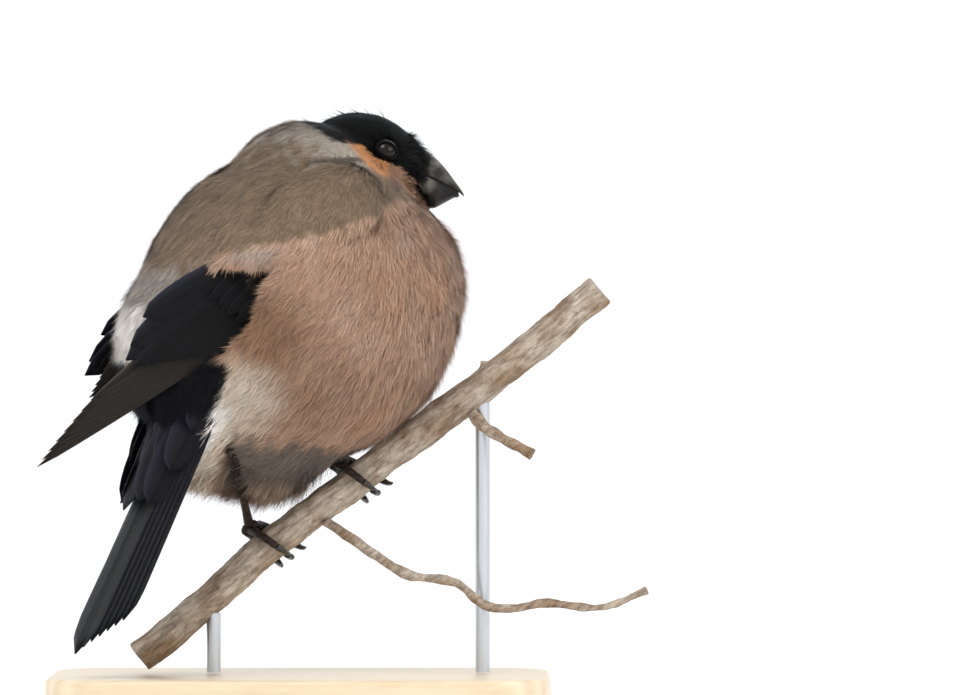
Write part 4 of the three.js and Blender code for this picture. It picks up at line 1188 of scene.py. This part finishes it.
# %% Materials: wet eye and lid skin
eye_wet, tree, shader = new_material("wet_eye")
where = add_node(tree, "ShaderNodeTexCoord")
iris = add_node(tree, "ShaderNodeTexNoise", {"Scale": 1 / (1.5 * MM)}, {"Vector": where.outputs["Object"]})
brown = add_node(tree, "ShaderNodeValToRGB", {}, {"Fac": iris.outputs["Fac"]})
brown.color_ramp.elements[0].color = linear("#080504")
brown.color_ramp.elements[1].color = linear("#1e120c")
tree.links.new(brown.outputs["Color"], shader.inputs["Base Color"])
shader.inputs["Roughness"].default_value = 0.08
shader.inputs["Coat Weight"].default_value = 0.25
shader.inputs["Coat Roughness"].default_value = 0.02
shader.inputs["IOR"].default_value = 1.2

lid_skin, tree, shader = new_material("lid_skin")
where = add_node(tree, "ShaderNodeTexCoord")
pores = add_node(tree, "ShaderNodeTexVoronoi", {"Scale": 1 / (0.3 * MM)}, {"Vector": where.outputs["Object"]})
tone = add_node(tree, "ShaderNodeValToRGB", {}, {"Fac": pores.outputs["Distance"]})
tone.color_ramp.elements[0].color = linear("#040405")
tone.color_ramp.elements[1].color = linear("#111112")
tree.links.new(tone.outputs["Color"], shader.inputs["Base Color"])
relief = add_node(tree, "ShaderNodeBump", {"Strength": 0.4, "Distance": 0.05 * MM},
                  {"Height": pores.outputs["Distance"]})
tree.links.new(relief.outputs["Normal"], shader.inputs["Normal"])
shader.inputs["Specular IOR Level"].default_value = 0.06
shader.inputs["Roughness"].default_value = 0.5
print("eye materials made")

# %% [markdown]
# The eye is a ball, and the lids are a thin closed band round it, in a slightly tilted oval. Its section is a
# loop of places, each a width and a height over the eye's middle. A torus would be quicker, but lids follow
# the ball, and a flat ring doesn't.

# %% Eyes and lids
LID_TURNS = 56
LID_HALF = (2.0, 1.32)
LID_SECTION = [(1.0, 2.72), (1.0, 2.9), (1.05, 3.02), (1.12, 3.04), (1.18, 2.95), (1.26, 3.02), (1.42, 2.92),
               (1.42, 2.4), (1.2, 2.5)]
for side_name, side, centre in (("right", 1, eye_places[0]), ("left", -1, eye_places[1])):
    shape = bmesh.new()
    bmesh.ops.create_icosphere(shape, subdivisions=5, radius=EYE_RADIUS)
    ball = np.array([v.co[:] for v in shape.verts])
    faces = [[v.index for v in f.verts] for f in shape.faces]
    shape.free()
    eye = mesh_object("eyeball_" + side_name, ball + centre, [faces])
    finish_piece(eye, eye_wet, ["eye_" + side_name])
    out = unit(np.array([0.25, -side, 0.22]))
    high = axes(0, -0.42)[2]
    level = unit(np.cross(high, out))
    tall = unit(np.cross(out, level))
    turn = np.linspace(0, 2 * math.pi, LID_TURNS, endpoint=False)
    rows = []
    for grow, height in LID_SECTION:
        flat_x, flat_y = LID_HALF[0] * grow * np.cos(turn), LID_HALF[1] * grow * np.sin(turn)
        stand = np.sqrt(np.clip(height ** 2 - flat_x ** 2 - flat_y ** 2, 0.02, None))
        rows.append(centre + level * flat_x[:, None] + tall * flat_y[:, None] + out * stand[:, None])
    ring = np.stack(rows, axis=1)
    grid = np.arange(LID_TURNS * len(LID_SECTION)).reshape(LID_TURNS, len(LID_SECTION))
    onward = np.roll(grid, -1, 0)
    quads = np.stack([grid, np.roll(grid, -1, 1), np.roll(onward, -1, 1), onward], -1)
    lids = mesh_object("lids_" + side_name, ring.reshape(-1, 3), [quads.reshape(-1, 4)])
    finish_piece(lids, lid_skin)
print("eyes and lids made")

# %% [markdown]
# Legs, feet and claws keep the measured model's shape. A copy of each is remeshed finely and smoothed, so
# that its facets go, and then moved outwards a little, because smoothing makes thin things thinner. Smooth
# shading alone would leave the facets in the outline.

# %% Smoothed copies
def smoothed_copy(name, node_name, voxel, rounds, grow=0.0):
    piece = bpy.data.objects.new(name, nodes[node_name].data.copy())
    bpy.context.collection.objects.link(piece)
    applied(piece, ("REMESH", {"mode": "VOXEL", "voxel_size": voxel * MM}),
            ("SMOOTH", {"factor": 0.5, "iterations": rounds}))
    set_points(piece.data, points_of(piece.data) + normals_of(piece.data) * grow)
    set_smooth(piece.data)
    piece.data.update()
    return piece


print("smoothing helper ready")

# %% [markdown]
# A songbird's shank is covered in scutes, overlapping plates of dark brown skin, and the toes in small scales.
# Soft bands about 1.4 mm apart along Z and cells of 0.6 mm stand for them, in colour and in relief. Modelled
# plates would be truer, but a soft relief is enough at this size. Claws are blackish, smooth horn.

# %% Materials: scuted skin and claw horn
leg_scutes, tree, shader = new_material("scuted_leg_skin")
where = add_node(tree, "ShaderNodeTexCoord")
plates = add_node(tree, "ShaderNodeTexWave",
                  {"wave_type": "BANDS", "bands_direction": "Z", "Scale": 1 / (4.4 * MM), "Distortion": 1.5,
                   "Detail": 2.0}, {"Vector": where.outputs["Object"]})
cells = add_node(tree, "ShaderNodeTexVoronoi", {"Scale": 1 / (0.6 * MM)}, {"Vector": where.outputs["Object"]})
both = add_node(tree, "ShaderNodeMath", {"operation": "ADD"},
                {0: plates.outputs["Fac"], 1: cells.outputs["Distance"]})
tone = add_node(tree, "ShaderNodeValToRGB", {}, {"Fac": both.outputs["Value"]})
tone.color_ramp.elements[0].color = linear("#0d0908")
tone.color_ramp.elements[1].color = linear("#2c221d")
tree.links.new(tone.outputs["Color"], shader.inputs["Base Color"])
relief = add_node(tree, "ShaderNodeBump", {"Strength": 0.7, "Distance": 0.15 * MM},
                  {"Height": both.outputs["Value"]})
tree.links.new(relief.outputs["Normal"], shader.inputs["Normal"])
shader.inputs["Specular IOR Level"].default_value = 0.2
shader.inputs["Roughness"].default_value = 0.5

claw_horn, tree, shader = new_material("claw_horn")
where = add_node(tree, "ShaderNodeTexCoord")
grain = add_node(tree, "ShaderNodeTexNoise", {"Scale": 1 / (0.8 * MM), "Detail": 2.0},
                 {"Vector": where.outputs["Object"]})
tone = add_node(tree, "ShaderNodeValToRGB", {}, {"Fac": grain.outputs["Fac"]})
tone.color_ramp.elements[0].color = linear("#141110")
tone.color_ramp.elements[1].color = linear("#3a322c")
tree.links.new(tone.outputs["Color"], shader.inputs["Base Color"])
shader.inputs["Roughness"].default_value = 0.3
shader.inputs["IOR"].default_value = 1.54
print("leg and claw materials made")

# %% [markdown]
# The pieces are named alike on both sides, so one loop makes them all: a shank and a foot, then four claws.

# %% Legs, feet and claws
for side_name in ("right", "left"):
    for part in ("leg", "foot"):
        piece = smoothed_copy(part + "_scuted_" + side_name, part + "_" + side_name, 0.2, 5, 0.16)
        finish_piece(piece, leg_scutes, [part + "_" + side_name])
    for k in range(1, 5):
        node_name = "claw_%s_%d" % (side_name, k)
        piece = smoothed_copy("claw_horn_%s_%d" % (side_name, k), node_name, 0.12, 2, 0.1)
        finish_piece(piece, claw_horn, [node_name])
print("legs, feet and claws made")

# %% [markdown]
# The perch is a dead, dry branch: grey-tan bark with fine lengthwise fibres, paler and browner patches about
# 7 mm across, small reddish scars and thin dark cracks. The fibres and cracks are stretched along the branch's
# slope. A photographed bark picture is the usual way, but it would have to be wrapped, and this pattern grows
# through the branch without a seam.

# %% Material: dry bark
PERCH_RUN, PERCH_RISE = 96.1, 76.6
bark, tree, shader = new_material("dry_bark")
where = add_node(tree, "ShaderNodeTexCoord")
branch_slope = math.atan2(PERCH_RISE, PERCH_RUN)
along_branch = add_node(tree, "ShaderNodeMapping", {"Rotation": (0, branch_slope, 0)},
                        {"Vector": where.outputs["Object"]})
squeeze = add_node(tree, "ShaderNodeMapping", {"Scale": (0.24, 1, 1)}, {"Vector": along_branch.outputs["Vector"]})
fibres = add_node(tree, "ShaderNodeTexNoise", {"Scale": 1 / (0.9 * MM), "Detail": 8.0, "Roughness": 0.72},
                  {"Vector": squeeze.outputs["Vector"]})
patches = add_node(tree, "ShaderNodeTexNoise", {"Scale": 1 / (7.0 * MM), "Detail": 4.0},
                   {"Vector": where.outputs["Object"]})
bark_tone = add_node(tree, "ShaderNodeValToRGB", {}, {"Fac": fibres.outputs["Fac"]})
bark_tone.color_ramp.elements[0].position = 0.3
bark_tone.color_ramp.elements[1].position = 0.72
bark_tone.color_ramp.elements[0].color = linear("#6c5d50")
bark_tone.color_ramp.elements[1].color = linear("#dccebc")
patch_tone = add_node(tree, "ShaderNodeValToRGB", {}, {"Fac": patches.outputs["Fac"]})
patch_tone.color_ramp.elements[0].position = 0.36
patch_tone.color_ramp.elements[1].position = 0.62
patch_tone.color_ramp.elements[0].color = linear("#c9b5a1")
patch_tone.color_ramp.elements[1].color = linear("#ffffff")
stained = add_node(tree, "ShaderNodeMix", {"data_type": "RGBA", "blend_type": "MULTIPLY", 0: 1.0},
                   {6: bark_tone.outputs["Color"], 7: patch_tone.outputs["Color"]})
scars = add_node(tree, "ShaderNodeTexVoronoi", {"Scale": 1 / (9.0 * MM)}, {"Vector": where.outputs["Object"]})
scar_share = add_node(tree, "ShaderNodeMapRange",
                      {"From Min": 0.04, "From Max": 0.12, "To Min": 0.7, "To Max": 0.0},
                      {"Value": scars.outputs["Distance"]})
scarred = add_node(tree, "ShaderNodeMix", {"data_type": "RGBA", 7: linear("#5a3a30")},
                   {0: scar_share.outputs["Result"], 6: stained.outputs[2]})
cracks = add_node(tree, "ShaderNodeTexVoronoi", {"feature": "DISTANCE_TO_EDGE", "Scale": 1 / (2.4 * MM)},
                  {"Vector": squeeze.outputs["Vector"]})
crack_share = add_node(tree, "ShaderNodeMapRange",
                       {"From Min": 0.0, "From Max": 0.05, "To Min": 0.3, "To Max": 0.0},
                       {"Value": cracks.outputs["Distance"]})
cracked = add_node(tree, "ShaderNodeMix", {"data_type": "RGBA", 7: linear("#55473d")},
                   {0: crack_share.outputs["Result"], 6: scarred.outputs[2]})
tree.links.new(cracked.outputs[2], shader.inputs["Base Color"])
relief = add_node(tree, "ShaderNodeBump", {"Strength": 0.9, "Distance": 0.5 * MM},
                  {"Height": fibres.outputs["Fac"]})
tree.links.new(relief.outputs["Normal"], shader.inputs["Normal"])
shader.inputs["Roughness"].default_value = 0.85
shader.inputs["Specular IOR Level"].default_value = 0.25
print("bark made")

# %% [markdown]
# Branch and twigs are copies of the measured solids too, moved in and out by slow waves for their lumps. A
# Displace modifier with a noise does the same. The waves are used because they are already here.

# %% Branch
def bark_copy(name, node_name, voxel, lump):
    piece = smoothed_copy(name, node_name, voxel, 4)
    points, normals = points_of(piece.data), normals_of(piece.data)
    stretched = points * [0.7, 1, 0.7]
    move = lump * (waves(points, 9, 31) + 0.5 * waves(stretched, 3.2, 32) + 0.3 * waves(points, 1.6, 33))
    set_points(piece.data, points + normals * move[:, None])
    piece.data.update()
    finish_piece(piece, bark, [node_name])


bark_copy("branch", "perch", 0.4, 0.12)
bark_copy("branch_twig_long", "twig_long", 0.25, 0.1)
bark_copy("branch_twig_stub", "twig_stub", 0.25, 0.1)
print("branch made")

# %% [markdown]
# The photograph shows no stand, so this one is plain: a base of pale maple with a satin lacquer, and two rods
# of brushed steel. Maple's growth lines run lengthwise. They are drawn about 4 mm apart and faint. The steel's
# brush lines run along the rod and only change how rough it is, as brushing does.

# %% Materials: lacquered maple and brushed steel
maple, tree, shader = new_material("lacquered_maple")
where = add_node(tree, "ShaderNodeTexCoord")
run = add_node(tree, "ShaderNodeMapping", {"Scale": (0.12, 1, 1)}, {"Vector": where.outputs["Object"]})
growth = add_node(tree, "ShaderNodeTexWave",
                  {"wave_type": "BANDS", "bands_direction": "Y", "Scale": 1 / (13.0 * MM), "Distortion": 6.0,
                   "Detail": 3.0}, {"Vector": run.outputs["Vector"]})
flecks = add_node(tree, "ShaderNodeTexNoise", {"Scale": 1 / (0.8 * MM), "Detail": 3.0},
                  {"Vector": run.outputs["Vector"]})
wood_mix = add_node(tree, "ShaderNodeMath", {"operation": "MULTIPLY"},
                    {0: growth.outputs["Fac"], 1: flecks.outputs["Fac"]})
wood_tone = add_node(tree, "ShaderNodeValToRGB", {}, {"Fac": wood_mix.outputs["Value"]})
wood_tone.color_ramp.elements[0].color = linear("#e2d0b2")
wood_tone.color_ramp.elements[1].color = linear("#cdb48f")
tree.links.new(wood_tone.outputs["Color"], shader.inputs["Base Color"])
shader.inputs["Roughness"].default_value = 0.38
shader.inputs["Coat Weight"].default_value = 0.25
shader.inputs["Coat Roughness"].default_value = 0.25

steel, tree, shader = new_material("brushed_steel")
where = add_node(tree, "ShaderNodeTexCoord")
brush = add_node(tree, "ShaderNodeMapping", {"Scale": (1, 1, 0.04)}, {"Vector": where.outputs["Object"]})
lines = add_node(tree, "ShaderNodeTexNoise", {"Scale": 1 / (0.25 * MM), "Detail": 2.0},
                 {"Vector": brush.outputs["Vector"]})
rough = add_node(tree, "ShaderNodeMapRange", {"To Min": 0.25, "To Max": 0.45}, {"Value": lines.outputs["Fac"]})
tree.links.new(rough.outputs["Result"], shader.inputs["Roughness"])
shader.inputs["Base Color"].default_value = linear("#c3c6c9")
shader.inputs["Metallic"].default_value = 1.0
print("maple and steel made")

# %% [markdown]
# The base is built from level outlines with round corners, drawn in a little at the bottom and at the top, for
# an edge eased by sanding. A cube gives nearly the same with two Bevel modifiers, one for each radius.

# %% Base
def rounded_slab(name, length, width, height, corner, bevel):
    """A slab with round corners, and with a smaller round along its bottom and top edges."""
    rings = []
    edge = [(bevel * (1 - math.sin(a)), bevel * (1 - math.cos(a))) for a in np.linspace(0, math.pi / 2, 6)]
    heights = [(inset, low) for inset, low in edge] + [(inset, height - low) for inset, low in edge[::-1]]
    for inset, z in heights:
        x, y, c = length / 2 - inset, width / 2 - inset, corner - inset
        ring = []
        for quarter, (cx, cy) in enumerate([(x - c, y - c), (-x + c, y - c), (-x + c, -y + c), (x - c, -y + c)]):
            for a in np.linspace(0, math.pi / 2, 12):
                turn = a + quarter * math.pi / 2
                ring.append((cx + c * math.cos(turn), cy + c * math.sin(turn), z))
        rings.append(ring)
    count = len(rings[0])
    points = [p for ring in rings for p in ring]
    quads = [(i * count + j, i * count + (j + 1) % count, (i + 1) * count + (j + 1) % count, (i + 1) * count + j)
             for i in range(len(rings) - 1) for j in range(count)]
    points += [(0, 0, 0), (0, 0, height)]
    last = (len(rings) - 1) * count
    fans = [(len(points) - 2, (j + 1) % count, j) for j in range(count)]
    fans += [(len(points) - 1, last + j, last + (j + 1) % count) for j in range(count)]
    return mesh_object(name, points, [quads, fans])


base = rounded_slab("maple_base", 104, 70, 4, 14, 0.9)
finish_piece(base, maple, ["stand_base"])
print("base made")

# %% [markdown]
# The rods take their place, thickness and length from the boxes of the measured ones, so they meet the base
# and the branch where those do. Blender's own cylinder would do as well. Made here, it takes the same path as
# every other piece.

# %% Rods
ROD_SIDES = 40
for end in ("low", "high"):
    lo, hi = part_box("stand_rod_" + end)
    middle_x, radius = (lo[0] + hi[0]) / 2 / MM, (hi[1] - lo[1]) / 2 / MM
    turn = np.linspace(0, 2 * math.pi, ROD_SIDES, endpoint=False)
    heights = [lo[2] / MM, hi[2] / MM]
    points = [(middle_x + radius * math.cos(t), radius * math.sin(t), z) for z in heights for t in turn]
    points += [(middle_x, 0, heights[0]), (middle_x, 0, heights[1])]
    around = [(j, (j + 1) % ROD_SIDES) for j in range(ROD_SIDES)]
    quads = [(j, after, ROD_SIDES + after, ROD_SIDES + j) for j, after in around]
    fans = [(2 * ROD_SIDES, after, j) for j, after in around]
    fans += [(2 * ROD_SIDES + 1, ROD_SIDES + j, ROD_SIDES + after) for j, after in around]
    rod = mesh_object("steel_rod_" + end, points, [quads, fans], smooth=False)
    finish_piece(rod, steel, ["stand_rod_" + end])
print("rods made")

# %% [markdown]
# Last, the spare copy of the outer surface is removed and the faces of all shown pieces are counted. The dressed
# model should stay within about 2 mm of the measured one, which is the height by which the crown's raised tips
# and the coat stand off.

# %% Sizes
bpy.data.meshes.remove(outer_mesh)
faces_in_all = sum(len(o.data.polygons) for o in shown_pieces() if o.type == "MESH")
print("faces in all:", faces_in_all)
